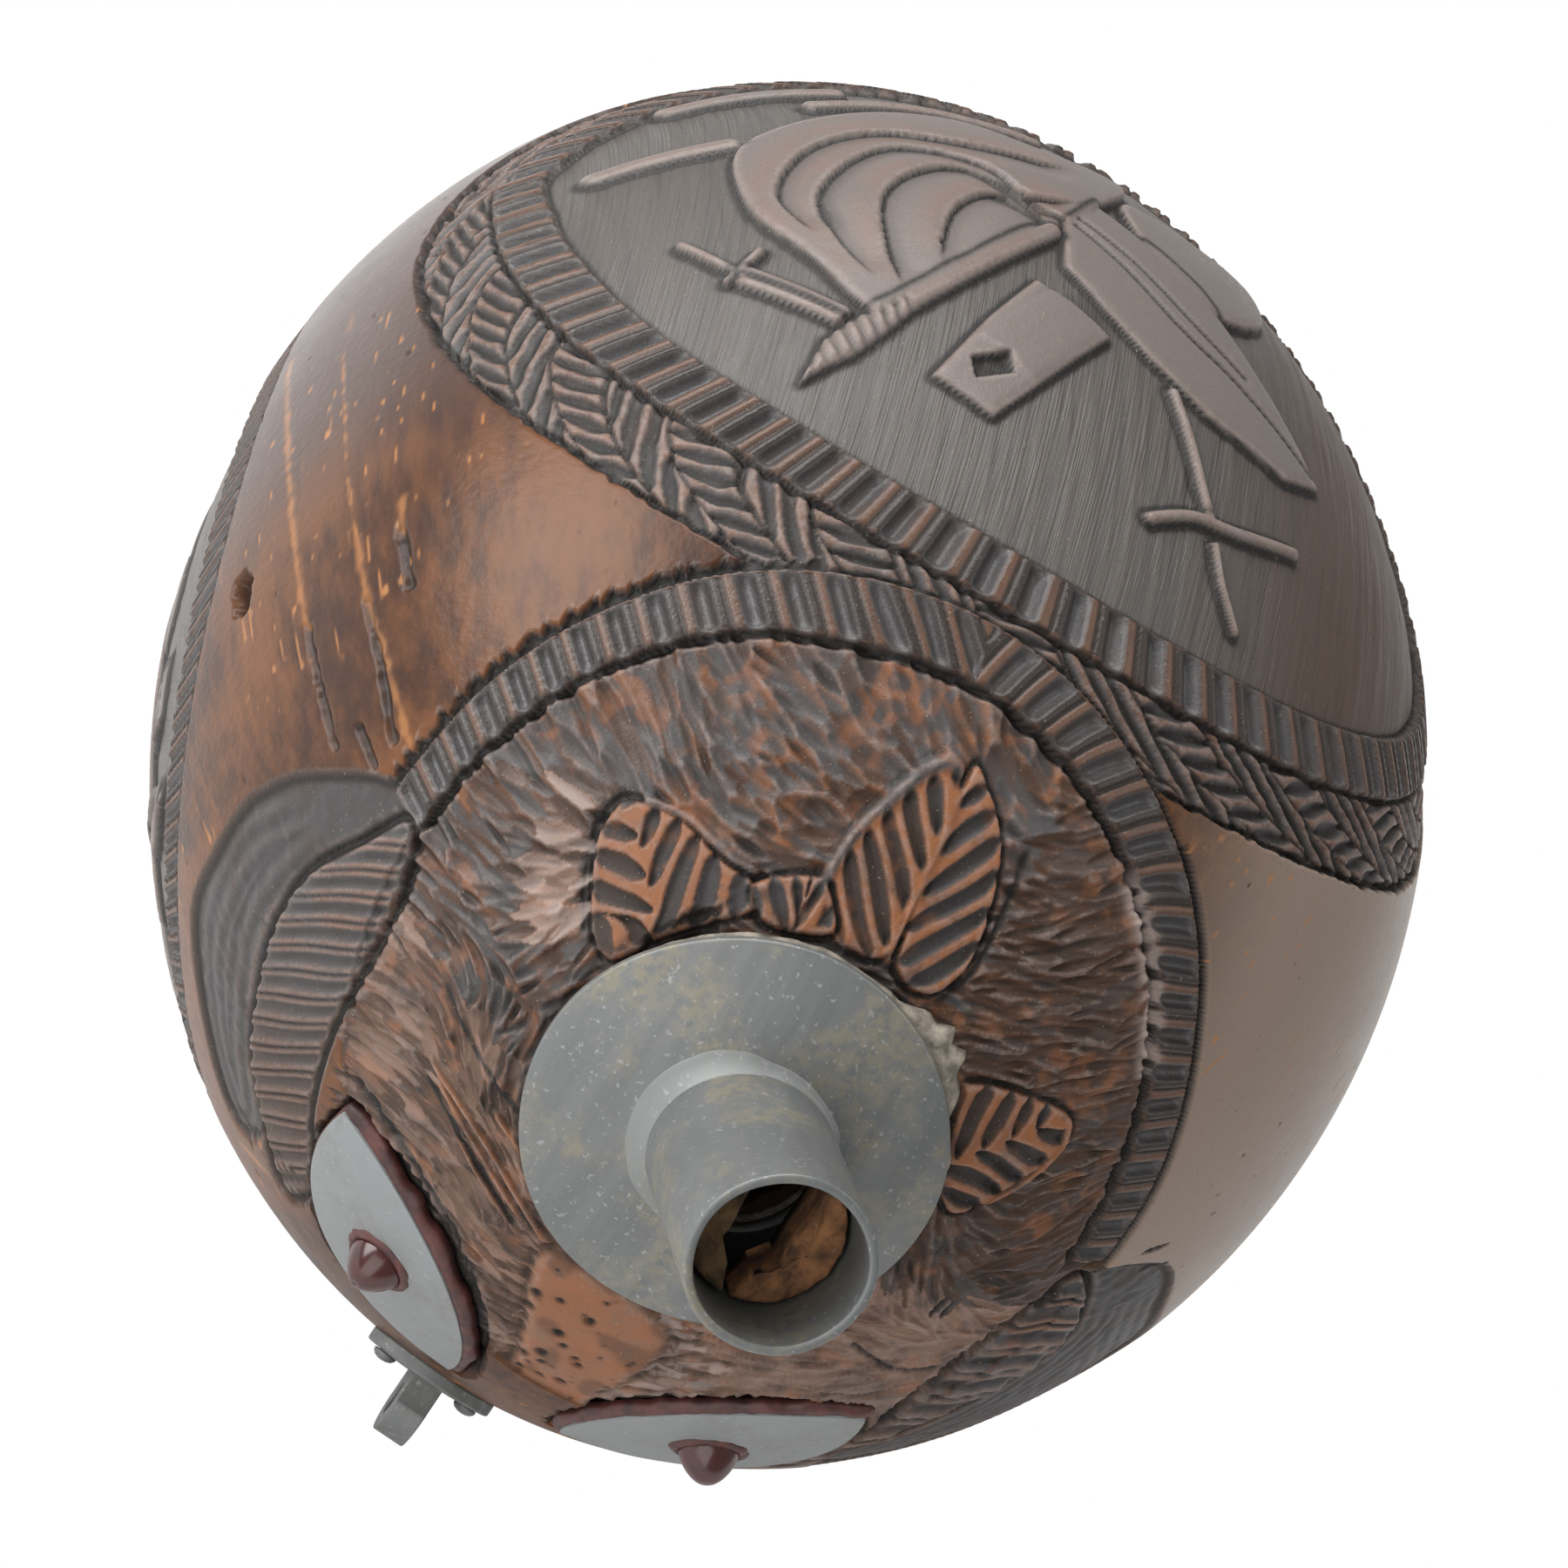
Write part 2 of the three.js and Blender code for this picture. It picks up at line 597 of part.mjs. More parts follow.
function eyeWaxSolid(eye) {
  const bed = layer(eyePrism(eye, waxMargin), seatGap - socketDepth, 0);
  const pocket = layer(eyePrism(eye, seatGap), plateUnder - seatGap, carvingClearance);
  const frame = eyeFrame(eye);
  const bossRadius = cupRadius + waxCupWall;
  const bossShape = ellipseShape(0, 0, bossRadius, bossRadius);
  const boss = prism(bossShape, frame, -socketDepth + waxFloor, eyePlateProud + 0.3, 10);
  const cup = prism(ellipseShape(0, 0, cupRadius, cupRadius), frame, -beadSunk - seatGap, 6, 10);
  return bed.subtract(pocket).add(boss.intersect(eyePrism(eye, 0))).subtract(cup);
}

// Pointed bead turned on its own axis
function beadGeometry() {
  const profile = [new THREE.Vector2(0, -beadSunk)];
  const steps = 9;
  for (let step = 0; step <= steps; step += 1) {
    const up = step / steps;
    const round = Math.sqrt(1 - up ** 2) * (1 - 0.22 * up);
    const level = -beadSunk + 0.35 + up * (beadHeight + beadSunk - 0.35);
    profile.push(new THREE.Vector2(beadRadius * round, level));
  }
  const geometry = new THREE.LatheGeometry(profile, 20);
  geometry.rotateX(Math.PI / 2);
  return geometry;
}

// Loop plate, lug and pins stand on one frame at the forehead
const loopFrame = surfaceFrame(loopAzimuth, loopLatitude, sideways);
const loopTop = seatGap + loopPlateThickness;
const loopPinDrop = (loopPinSpacing ** 2) / 8 / nutRadius; // the shell falls away by this at a pin

function loopPinPlace(side, level) {
  const place = new THREE.Matrix4().makeTranslation((side * loopPinSpacing) / 2, 0, level - loopPinDrop);
  return loopFrame.clone().multiply(place);
}

function turnedPin(profile, side, level) {
  const geometry = new THREE.LatheGeometry(profile.map(([x, y]) => new THREE.Vector2(x, y)), 12);
  geometry.rotateX(Math.PI / 2);
  return solid(geometry, loopPinPlace(side, level));
}

function loopPinHole(side) {
  const radius = loopPinDiameter / 2 + seatGap;
  const depth = loopPinLength + seatGap;
  return turnedPin([[0, -depth], [radius, -depth], [radius, 2], [0, 2]], side, loopTop);
}

function loopPinSolid(side) {
  const radius = loopPinDiameter / 2;
  const head = loopPinHeadDiameter / 2;
  const shank = [[0, -loopPinLength], [radius, -loopPinLength], [radius, seatGap]];
  const dome = [[head, seatGap], [head * 0.7, 0.75], [0, 0.9]];
  return turnedPin([...shank, ...dome], side, loopTop);
}

function loopPlateSolid() {
  const shape = ellipseShape(0, 0, loopPlateLength / 2, loopPlateWidth / 2);
  const curved = layer(prism(shape, loopFrame, -3, 3, 10), seatGap, loopTop);
  return curved.subtract(loopPinHole(-1)).subtract(loopPinHole(1));
}

// Upright lug with a round head and a hole for the strap
function loopSolid() {
  const half = loopWidth / 2;
  const shape = new THREE.Shape();
  shape.moveTo(-half, 0);
  shape.lineTo(half, 0);
  shape.lineTo(half, loopHeight - half);
  shape.absarc(0, loopHeight - half, half, 0, Math.PI, false);
  const hole = new THREE.Path();
  hole.absarc(0, loopHeight - half, loopHoleDiameter / 2, 0, 2 * Math.PI, true);
  shape.holes.push(hole);
  const upright = new THREE.Matrix4().makeBasis(
    new THREE.Vector3(0, 1, 0),
    new THREE.Vector3(0, 0, 1),
    new THREE.Vector3(1, 0, 0),
  );
  const place = loopFrame.clone()
    .multiply(new THREE.Matrix4().makeRotationZ(rad(loopTurn)))
    .multiply(new THREE.Matrix4().makeTranslation(0, 0, loopTop + seatGap))
    .multiply(upright);
  return prism(shape, place, -loopThickness / 2, loopThickness / 2, 10);
}

const flask = new THREE.Group();
flask.position.set(0, 0, axisHeight);

function addPiece(name, geometry, finish, placement) {
  const mesh = new THREE.Mesh(geometry, new THREE.MeshStandardMaterial(finish));
  mesh.name = name;
  if (placement) placement.decompose(mesh.position, mesh.quaternion, mesh.scale);
  flask.add(mesh);
}

addPiece("coconut_shell", geometryOf(shellSolid()), colours.shell);
addPiece("spout_bedding", geometryOf(beddingSolid()), colours.pitch);
addPiece("spout_flange", geometryOf(flangeSolid()), colours.pewter);
addPiece("spout_tube", geometryOf(tubeSolid()), colours.pewter);
addPiece("spout_solder", geometryOf(solderSolid()), colours.solder);
addPiece("cork_piece_right", geometryOf(corkSolid(-1)), colours.cork);
addPiece("cork_piece_left", geometryOf(corkSolid(1)), colours.cork);
for (const [side, eye] of [["right", rightEye], ["left", leftEye]]) {
  addPiece(`eye_wax_${side}`, geometryOf(eyeWaxSolid(eye)), colours.wax);
  addPiece(`eye_plate_${side}`, geometryOf(eyePlateSolid(eye)), colours.pewter);
  addPiece(`eye_bead_${side}`, beadGeometry(), colours.bead, eyeFrame(eye));
}
addPiece("loop_plate", geometryOf(loopPlateSolid()), colours.pewter);
addPiece("strap_loop", geometryOf(loopSolid()), colours.pewter);
addPiece("loop_pin_right", geometryOf(loopPinSolid(-1)), colours.pewter);
addPiece("loop_pin_left", geometryOf(loopPinSolid(1)), colours.pewter);

const model = new THREE.Group();
model.add(flask);
export default model;
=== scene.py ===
import math
from functools import reduce

import bpy
import numpy as np
from mathutils import Matrix, Vector


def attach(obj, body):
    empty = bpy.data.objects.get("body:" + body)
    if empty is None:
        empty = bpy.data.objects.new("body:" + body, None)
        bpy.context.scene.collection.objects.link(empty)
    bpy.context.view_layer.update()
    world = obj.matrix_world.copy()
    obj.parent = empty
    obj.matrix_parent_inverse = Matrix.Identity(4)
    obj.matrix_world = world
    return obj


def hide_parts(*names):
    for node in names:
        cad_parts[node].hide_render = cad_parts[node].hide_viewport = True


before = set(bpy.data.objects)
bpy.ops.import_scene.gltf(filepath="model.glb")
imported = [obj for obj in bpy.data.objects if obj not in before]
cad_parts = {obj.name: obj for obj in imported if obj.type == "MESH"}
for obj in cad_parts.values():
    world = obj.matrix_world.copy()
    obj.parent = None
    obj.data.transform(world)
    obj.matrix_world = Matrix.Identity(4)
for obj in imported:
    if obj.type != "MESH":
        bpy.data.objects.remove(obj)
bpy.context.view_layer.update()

print("stage: frame loaded")

mm = 0.001
random = np.random.default_rng(7)

# The nut: an egg-shaped solid of revolution about Y with three faint ridges
nut = {
    "radius": 52.0,
    "halfLength": 62.4,
    "eggTaper": 0.01,
    "ridgeRise": 0.007,
    "restFlat": 0.35,
    "wall": 4.2,
}
axisHeight = nut["radius"] * (1 + nut["ridgeRise"]) - nut["restFlat"]


def smooth(low, high, value):
    t = np.clip((value - low) / (high - low), 0, 1)
    return t * t * (3 - 2 * t)


def bump(centre, width, value):
    return np.exp(-(((value - centre) / width) ** 2))


def fraction(value):
    return value - np.floor(value)


# Value noise between 0 and 1 over points in two or three columns
def noise(points, size, seed=0):
    cells = np.asarray(points) / np.asarray(size)
    if cells.shape[1] == 2:
        cells = np.column_stack([cells, np.full(len(cells), seed * 3.7)])
    low = np.floor(cells).astype(np.int64)
    part = cells - low
    part = part * part * (3 - 2 * part)
    total = np.zeros(len(cells))
    for dx in (0, 1):
        for dy in (0, 1):
            for dz in (0, 1):
                n = ((low[:, 0] + dx) * 73856093) ^ ((low[:, 1] + dy) * 19349663)
                n = (n ^ ((low[:, 2] + dz) * 83492791)) + seed * 9973
                n = (n * 1103515245 + 12345) & 0x7FFFFFFF
                n = ((n >> 11) ^ n) * 69069 & 0x7FFFFFFF
                value = (n >> 8 & 0xFFFF) / 65535.0
                total += value * np.abs(1 - np.array([dx, dy, dz]) - part).prod(1)
    return total


def girth(azimuth, sinLat, cosLat, rise=0.0):
    ridge = 1 + nut["ridgeRise"] * np.cos(3 * (azimuth - math.pi / 3)) * cosLat
    return (nut["radius"] + rise) * cosLat * (1 + nut["eggTaper"] * sinLat) * ridge


# Points of the surface from azimuth and latitude in radians, in millimetres from the nut's middle
def nutPoint(azimuth, latitude, rise=0.0):
    azimuth, latitude = np.broadcast_arrays(azimuth, latitude)
    round_ = girth(azimuth, np.sin(latitude), np.cos(latitude), rise)
    along = (nut["halfLength"] + rise) * np.sin(latitude)
    return np.stack([round_ * np.sin(azimuth), along, round_ * np.cos(azimuth)], axis=-1)


def nutNormal(azimuth, latitude):
    step = 0.004
    across = nutPoint(azimuth + step, latitude) - nutPoint(azimuth - step, latitude)
    along = nutPoint(azimuth, latitude + step) - nutPoint(azimuth, latitude - step)
    normal = np.cross(across, along)
    return normal / np.linalg.norm(normal, axis=-1, keepdims=True)


def outsideNut(points):
    sinLat = np.clip(points[..., 1] / nut["halfLength"], -0.9999, 0.9999)
    azimuth = np.arctan2(points[..., 0], points[..., 2])
    return np.hypot(points[..., 0], points[..., 2]) - girth(azimuth, sinLat, np.sqrt(1 - sinLat**2))


# Moves points along a direction until they lie on the nut
def dropOnNut(points, direction):
    reach0 = np.zeros(points.shape[:-1])
    reach1 = reach0 - 0.5
    value0 = outsideNut(points)
    for _ in range(12):
        value1 = outsideNut(points + reach1[..., None] * direction)
        slope = np.where(np.abs(value1 - value0) < 1e-9, 1e-9, value1 - value0)
        reach0, value0, reach1 = reach1, value1, np.clip(reach1 - value1 * (reach1 - reach0) / slope, -40, 40)
    return points + reach1[..., None] * direction


# A 4 x 4 frame on the surface: z outwards, x along a heading laid on the surface
def surfaceFrame(azimuth, latitude, heading, rise=0.0):
    azimuth, latitude = math.radians(azimuth), math.radians(latitude)
    outwards = nutNormal(azimuth, latitude)
    heading = np.array(heading, float)
    ahead = heading - outwards * (heading @ outwards)
    ahead /= np.linalg.norm(ahead)
    made = np.eye(4)
    made[:3, 0] = ahead
    made[:3, 1] = np.cross(outwards, ahead)
    made[:3, 2] = outwards
    made[:3, 3] = nutPoint(azimuth, latitude) + outwards * rise
    return made


def shifted(base, x=0.0, y=0.0, z=0.0):
    move = np.eye(4)
    move[:3, 3] = x, y, z
    return base @ move


def turnedFrame(base, axis, degrees):
    c, s = math.cos(math.radians(degrees)), math.sin(math.radians(degrees))
    turn = np.eye(4)
    a, b = {"x": (1, 2), "y": (2, 0), "z": (0, 1)}[axis]
    turn[a, a], turn[a, b], turn[b, a], turn[b, b] = c, -s, s, c
    return base @ turn


def placed(base, points):
    return points @ base[:3, :3].T + base[:3, 3]


# Points seen from a frame, the reverse of placed
def seenFrom(base, points):
    return (points - base[:3, 3]) @ base[:3, :3]


# Meshes
def newObject(name, data):
    made = bpy.data.objects.new(name, data)
    bpy.context.scene.collection.objects.link(made)
    return made


def makeObject(name, points, faces):
    mesh = bpy.data.meshes.new(name)
    where = np.array(points, float).reshape(-1, 3).copy()
    where[:, 2] += axisHeight
    mesh.from_pydata((where * mm).tolist(), [], [list(map(int, f)) for f in faces])
    mesh.update()
    mesh.polygons.foreach_set("use_smooth", np.ones(len(mesh.polygons), bool))
    return newObject(name, mesh)


# Faces of a grid: closed joins the last column to the first, ring joins the last row as well
def gridFaces(rows, columns, closed=False, ring=False, start=0, flip=False):
    row = np.arange(rows if ring else rows - 1)[:, None]
    column = np.arange(columns if closed or ring else columns - 1)[None, :]
    below, after = (row + 1) % rows, (column + 1) % columns
    corners = [row * columns + column, row * columns + after, below * columns + after, below * columns + column]
    if flip:
        corners.reverse()
    return np.stack(np.broadcast_arrays(*corners), -1).reshape(-1, 4) + start


def sharpen(made, degrees):
    made.data.set_sharp_from_angle(angle=math.radians(degrees))


def circle(steps):
    return np.linspace(0, 2 * math.pi, steps, endpoint=False)


def ringNoise(angle, radius, size, seed):
    return noise(np.column_stack([np.cos(angle) * radius, np.sin(angle) * radius]), size, seed)


# Rows of points joined into one skin
def skin(name, rows, base=np.eye(4), ring=True, flip=True):
    rows = np.array(rows)
    faces = gridFaces(len(rows), rows.shape[1], closed=True, ring=ring, flip=flip)
    return makeObject(name, placed(base, rows.reshape(-1, 3)), faces)


# A closed profile of radius and height turned on a frame's z axis, with an optional wobble
def turnedPiece(name, profile, base, steps, wobble=None):
    angle = circle(steps)
    radius, height = (np.repeat(column[:, None], steps, 1) for column in np.array(profile, float).T)
    if wobble:
        radius, height = wobble(radius, height, angle[None, :])
    return skin(name, np.stack([radius * np.cos(angle), radius * np.sin(angle), height], -1), base, flip=False)


# A closed outline with its corners rounded off
def rounded(points, radius, steps):
    points = np.array(points, float)
    made = []
    for i, corner in enumerate(points):
        before, after = points[i - 1] - corner, points[(i + 1) % len(points)] - corner
        cut = min(radius, np.linalg.norm(before) / 2.2, np.linalg.norm(after) / 2.2)
        a = corner + before / np.linalg.norm(before) * cut
        b = corner + after / np.linalg.norm(after) * cut
        for t in np.linspace(0, 1, steps):
            made.append((1 - t) ** 2 * a + 2 * t * (1 - t) * corner + t**2 * b)
    return np.array(made)


# Camera at the photograph's place
view = {
    "right": (0.8606, 0.1116, 0.4969),
    "up": (-0.447, 0.633, 0.632),
    "back": (-0.244, -0.766, 0.5947),
    "distance": 480.0,
    "lens": 134.7,
    "lower": 1.71,
}


def makeCamera(view):
    camera = bpy.data.cameras.new("camera")
    camera.sensor_width = 36
    camera.lens = view["lens"]
    camera.clip_start, camera.clip_end = 0.01, 20
    made = newObject("camera", camera)
    axes = np.linalg.svd(np.array([view["right"], view["up"], view["back"]]))
    turn = (axes[0] @ axes[2]).T
    where = turn[:, 2] * view["distance"] - turn[:, 1] * view["lower"]
    place = np.eye(4)
    place[:3, :3] = turn
    place[:3, 3] = (where + [0, 0, axisHeight]) * mm
    made.matrix_world = Matrix(place.tolist())
    bpy.context.scene.camera = made


makeCamera(view)
print("stage: camera")


# A node tree. Inputs given as sockets are linked, others are set
class Nodes:
    def __init__(self, tree, kind):
        self.tree = tree
        self.shader = next(n for n in tree.nodes if n.type == kind)

    def feed(self, socket, value):
        if isinstance(value, bpy.types.NodeSocket):
            self.tree.links.new(value, socket)
        else:
            socket.default_value = value

    def add(self, kind, settings=None, **inputs):
        node = self.tree.nodes.new(kind)
        for key, value in (settings or {}).items():
            setattr(node, key, value)
        for key, value in inputs.items():
            self.feed(node.inputs[int(key[1:]) if key[1:].isdigit() else key.replace("_", " ")], value)
        return node

    def shade(self, **inputs):
        for key, value in inputs.items():
            self.feed(self.shader.inputs[key.replace("_", " ")], value)

    def where(self):
        return self.add("ShaderNodeTexCoord").outputs["Object"]

    def mixed(self, factor, first, second):
        return self.add("ShaderNodeMix", {"data_type": "RGBA"}, i0=factor, i6=first, i7=second).outputs[2]

    def ramped(self, factor, low, high):
        settings = {"interpolation_type": "SMOOTHSTEP"}
        return self.add("ShaderNodeMapRange", settings, Value=factor, From_Min=low, From_Max=high).outputs["Result"]

    def noised(self, where, scale, detail, stretch=None):
        if stretch:
            where = self.add("ShaderNodeMapping", Vector=where, Scale=stretch).outputs[0]
        node = self.add("ShaderNodeTexNoise", Vector=where, Scale=scale, Detail=detail, Roughness=0.6)
        return node.outputs["Fac"]

    def math(self, operation, first, second=0.0):
        return self.add("ShaderNodeMath", {"operation": operation}, i0=first, i1=second).outputs[0]

    def times(self, *values):
        return reduce(lambda first, second: self.math("MULTIPLY", first, second), values)

    def plus(self, *values):
        return reduce(lambda first, second: self.math("ADD", first, second), values)

    def bumped(self, height, strength, distance):
        node = self.add("ShaderNodeBump", Height=height, Strength=strength, Distance=distance)
        self.shade(Normal=node.outputs[0])


def newMaterial(name):
    material = bpy.data.materials.new(name)
    material.use_nodes = True
    return material, Nodes(material.node_tree, "BSDF_PRINCIPLED")


def colour(red, green, blue):
    return (red, green, blue, 1.0)


# Carving layout. The face is drawn in a front view (x, z), the panels square on (u, v)
face = {"middle": -3.6, "centre": (-2.3, 11.4), "radius": 33.0, "depth": 0.5}
panelTop = {"azimuth": 0.0, "centre": (-0.9, 7.1), "radii": (42.4, 34.5), "depth": 0.9}
panelSide = {
    "azimuth": 127.5,
    "centre": (0.0, 3.5),
    "radii": (36.0, 39.0),
    "depth": 0.9,
    "period": 2.5,
    "shift": [(-34, -4.3), (-30, -4.0), (-24, -3.2), (-17, -2.2), (-12, -1.8), (0, -1.3), (12, -1.2), (40, -0.6)],
}
# Bands: offset from the plain oval, period and widths against the length run round it
topRing = {
    "shift": [
        (0, -1.65), (5, -2.1), (10, -2.3), (15, -2.1), (20, -1.8), (30, -1.4), (40, -1.0), (50, -0.45),
        (60, 0), (70, 0.65), (80, 1.3), (90, 1.65), (100, 1.55), (110, 1.5), (150, 0.2), (230, 0.2),
        (242, 0.5), (246, -0.8), (249.1, -1.65),
    ],
    "period": [(0, 3.3), (40, 3.35), (47, 3.7), (65, 3.7), (75, 3.4), (249, 3.4)],
    "half": [(0, 2.45), (249, 2.45)],
    "outer": [
        (0, 8.7), (10, 8.35), (20, 8.3), (30, 8.5), (40, 8.9), (60, 9.9), (80, 11.0), (95, 11.5), (110, 12.0),
        (140, 11.0), (180, 9.2), (249, 8.7),
    ],
}
maskRing = {
    "shift": [
        (104, -4.5), (108, -4.45), (114, -4.1), (120, -3.75), (126, -3.35), (132, -2.75), (138, -2.45),
        (144, -2.35), (162, -2.2), (168, -2.15), (173, -1.95), (179, -1.4), (185, -0.95), (197, -0.65),
        (203, -0.7), (209, -0.95),
    ],
    "half": [
        (106, 1.5), (114, 1.9), (126, 1.85), (138, 2.15), (156, 2.25), (168, 2.45), (173, 2.5), (185, 2.15),
        (197, 1.95), (209, 1.7),
    ],
    "period": [(104, 2.8), (130, 2.8), (138, 3.5), (187, 3.5), (192, 2.95), (214, 2.9)],
    "slant": [
        (108, 0.1), (114, 0.2), (120, 0.35), (126, 0.6), (132, 0.8), (138, 0.8), (144, 0.65), (150, 0.6),
        (156, 0.5), (162.4, 0.35), (162.6, -0.8), (168, -0.7), (173, -0.5), (185, -0.25), (200, -0.1),
        (209, 0),
    ],
    "ends": (106.0, 212.5),
}
leafBand = {"depth": 0.4, "period": 13.0, "lead": 14.0, "upper": (48, 1.5), "lower": (-20, 1.7)}
spout = {
    "azimuth": -17.6,
    "latitude": -74.1,
    "flangeRadius": 15.6,
    "flangeThickness": 0.8,
    "dish": 52.0,
    "under": 0.5,
    "tubeRadius": 6.85,
    "wall": 0.76,
    "length": 20.0,
    "leanSideways": 7.8,
    "leanUp": 7.5,
    "shift": (0.7, -0.5),
}
spoutFrame = surfaceFrame(spout["azimuth"], spout["latitude"], (1, 0, 0))
tubeFrame = turnedFrame(
    turnedFrame(shifted(spoutFrame, *spout["shift"]), "x", -spout["leanUp"]), "y", spout["leanSideways"]
)
eyes = {
    "right": {"x": -18.2, "z": -18.5, "slant": 45, "length": 27.3, "width": 13.6, "side": -1},
    "left": {"x": 11.5, "z": -18.8, "slant": 54, "length": 26.0, "width": 14.8, "side": 1},
}


def eyeFrame(eye):
    azimuth = math.degrees(math.atan2(eye["x"], eye["z"]))
    latitude = -math.degrees(math.acos(math.hypot(eye["x"], eye["z"]) / nut["radius"]))
    slant = math.radians(eye["slant"])
    return surfaceFrame(azimuth, latitude, (eye["side"] * math.cos(slant), 0, math.sin(slant)))


# Half width of the almond along its length, both from its middle
def almondHalf(eye, along):
    half = eye["width"] / 2
    radius = eye["length"] ** 2 / 4 / eye["width"] + half / 2
    return np.sqrt(np.maximum(radius**2 - along**2, 0)) - (radius - half)


def follow(table, at):
    stops, values = zip(*table)
    return np.interp(at, stops, values)


# Number of periods passed along a run whose period changes
def phaseAlong(table, run):
    at = np.linspace(0, 260, 2601)
    passed = np.concatenate([[0], np.cumsum(0.1 / follow(table, at[:-1] + 0.05))])
    return np.interp(run, at, passed)


# Drawing boards: height, grime with painted shadow, wear and shade on a fine grid, sampled by the shell's vertices
class Board:
    def __init__(self, left, right, low, high, cell=0.1):
        self.cell, self.left, self.low = cell, left, low
        self.xs = np.arange(left, right, cell)
        self.ys = np.arange(low, high, cell)
        self.x, self.y = np.meshgrid(self.xs, self.ys)
        self.height = np.zeros_like(self.x)
        self.wear = np.zeros_like(self.x)
        self.grimeAndShadow = np.zeros_like(self.x)
        self.shade = np.full_like(self.x, 0.4)

    def window(self, points, margin):
        points = np.array(points)
        low = np.floor((points.min(0) - margin - [self.left, self.low]) / self.cell).astype(int)
        high = np.ceil((points.max(0) + margin - [self.left, self.low]) / self.cell).astype(int)
        low = np.clip(low, 0, [len(self.xs) - 2, len(self.ys) - 2])
        high = np.clip(high, low + 1, [len(self.xs), len(self.ys)])
        return slice(low[1], high[1]), slice(low[0], high[0])

    # Height, grime with painted shadow, wear and shade at points of the drawing
    def sample(self, x, y):
        column = np.clip((x - self.left) / self.cell, 0, len(self.xs) - 1.001)
        row = np.clip((y - self.low) / self.cell, 0, len(self.ys) - 1.001)
        c, r = column.astype(int), row.astype(int)
        fc, fr = column - c, row - r
        for layer in (self.height, self.grimeAndShadow, self.wear, self.shade):
            upper = layer[r + 1, c] * (1 - fc) + layer[r + 1, c + 1] * fc
            yield (layer[r, c] * (1 - fc) + layer[r, c + 1] * fc) * (1 - fr) + upper * fr

    def soil(self, part, amount):
        self.grimeAndShadow[part] = np.maximum(self.grimeAndShadow[part], amount)

    def blend(self, part, mask, height, grimeAndShadow, wear, shade=0.4):
        for layer, value in ((self.height, height), (self.grimeAndShadow, grimeAndShadow), (self.wear, wear), (self.shade, shade)):
            layer[part] = layer[part] * (1 - mask) + value * mask


def curveThrough(points, steps=8, closed=False):
    points = np.array(points, float)
    count = len(points)
    made = []
    for i in range(count if closed else count - 1):
        if closed:
            a, b, c, d = (points[(i + k) % count] for k in (-1, 0, 1, 2))
        else:
            a, b, c, d = (points[min(max(i + k, 0), count - 1)] for k in (-1, 0, 1, 2))
        for t in np.linspace(0, 1, steps, endpoint=False):
            made.append(
                0.5 * (2 * b + (c - a) * t + (2 * a - 5 * b + 4 * c - d) * t**2 + (3 * b - a - 3 * c + d) * t**3)
            )
    if not closed:
        made.append(points[-1])
    return np.array(made)


# Distance to a line, the length run along it and the side, on part of a board
def toLine(board, points, margin):
    points = np.array(points, float)
    part = board.window(points, margin)
    x, y = board.x[part], board.y[part]
    best = np.full(x.shape, 1e9)
    along = np.zeros(x.shape)
    side = np.zeros(x.shape)
    run = 0.0
    for a, b in zip(points[:-1], points[1:]):
        step = b - a
        length = max(np.hypot(*step), 1e-6)
        t = np.clip(((x - a[0]) * step[0] + (y - a[1]) * step[1]) / length**2, 0, 1)
        away = np.hypot(x - a[0] - t * step[0], y - a[1] - t * step[1])
        near = away < best
        best = np.where(near, away, best)
        along = np.where(near, run + t * length, along)
        side = np.where(near, np.sign((x - a[0]) * step[1] - (y - a[1]) * step[0]), side)
        run += length
    return part, best, along, side, run


# Signed distance inside a closed outline, positive inside
def inside(board, points, margin=2.0):
    points = np.array(points, float)
    ring = np.vstack([points, points[:1]])
    part, away, along, _, _ = toLine(board, ring, margin)
    x, y = board.x[part], board.y[part]
    within = np.zeros(x.shape, bool)
    for a, b in zip(ring[:-1], ring[1:]):
        crosses = (a[1] > y) != (b[1] > y)
        rise = b[1] - a[1] if abs(b[1] - a[1]) > 1e-9 else 1e-9
        within ^= crosses & (x < (b[0] - a[0]) * (y - a[1]) / rise + a[0])
    return part, np.where(within, away, -away), along


def groove(board, points, width, depth, wavering=0.0):
    part, away, along, _, run = toLine(board, points, width * 2)
    ends = smooth(0, width * 2, along) * smooth(0, width * 2, run - along)
    shake = 1 + wavering * (np.sin(along * 2.3 + points[0][0]) + np.sin(along * 5.1)) / 2
    cut = depth * ends * np.clip(1 - away / (width * shake), 0, 1) ** 0.8
    board.height[part] = np.minimum(board.height[part], board.height[part] * 0.5 - cut)
    board.soil(part, np.clip(1.3 - away / width, 0, 1) * ends)
    board.wear[part] *= np.clip(away / width, 0, 1)


# A worn ridge: a thin raised line, bright from handling
def ridge(board, points, half, lift, wear, shade):
    part, away, along, _, run = toLine(board, points, half * 2)
    ends = smooth(0, half * 3, along) * smooth(0, half * 3, run - along)
    crown = ends * np.clip(1 - (away / half) ** 2, 0, 1)
    board.height[part] = np.maximum(board.height[part], board.height[part] * (1 - crown) + lift * crown)
    board.grimeAndShadow[part] *= 1 - crown
    board.wear[part] = board.wear[part] * (1 - crown) + wear * crown
    if shade is not None:
        board.shade[part] = board.shade[part] * (1 - crown) + shade * crown
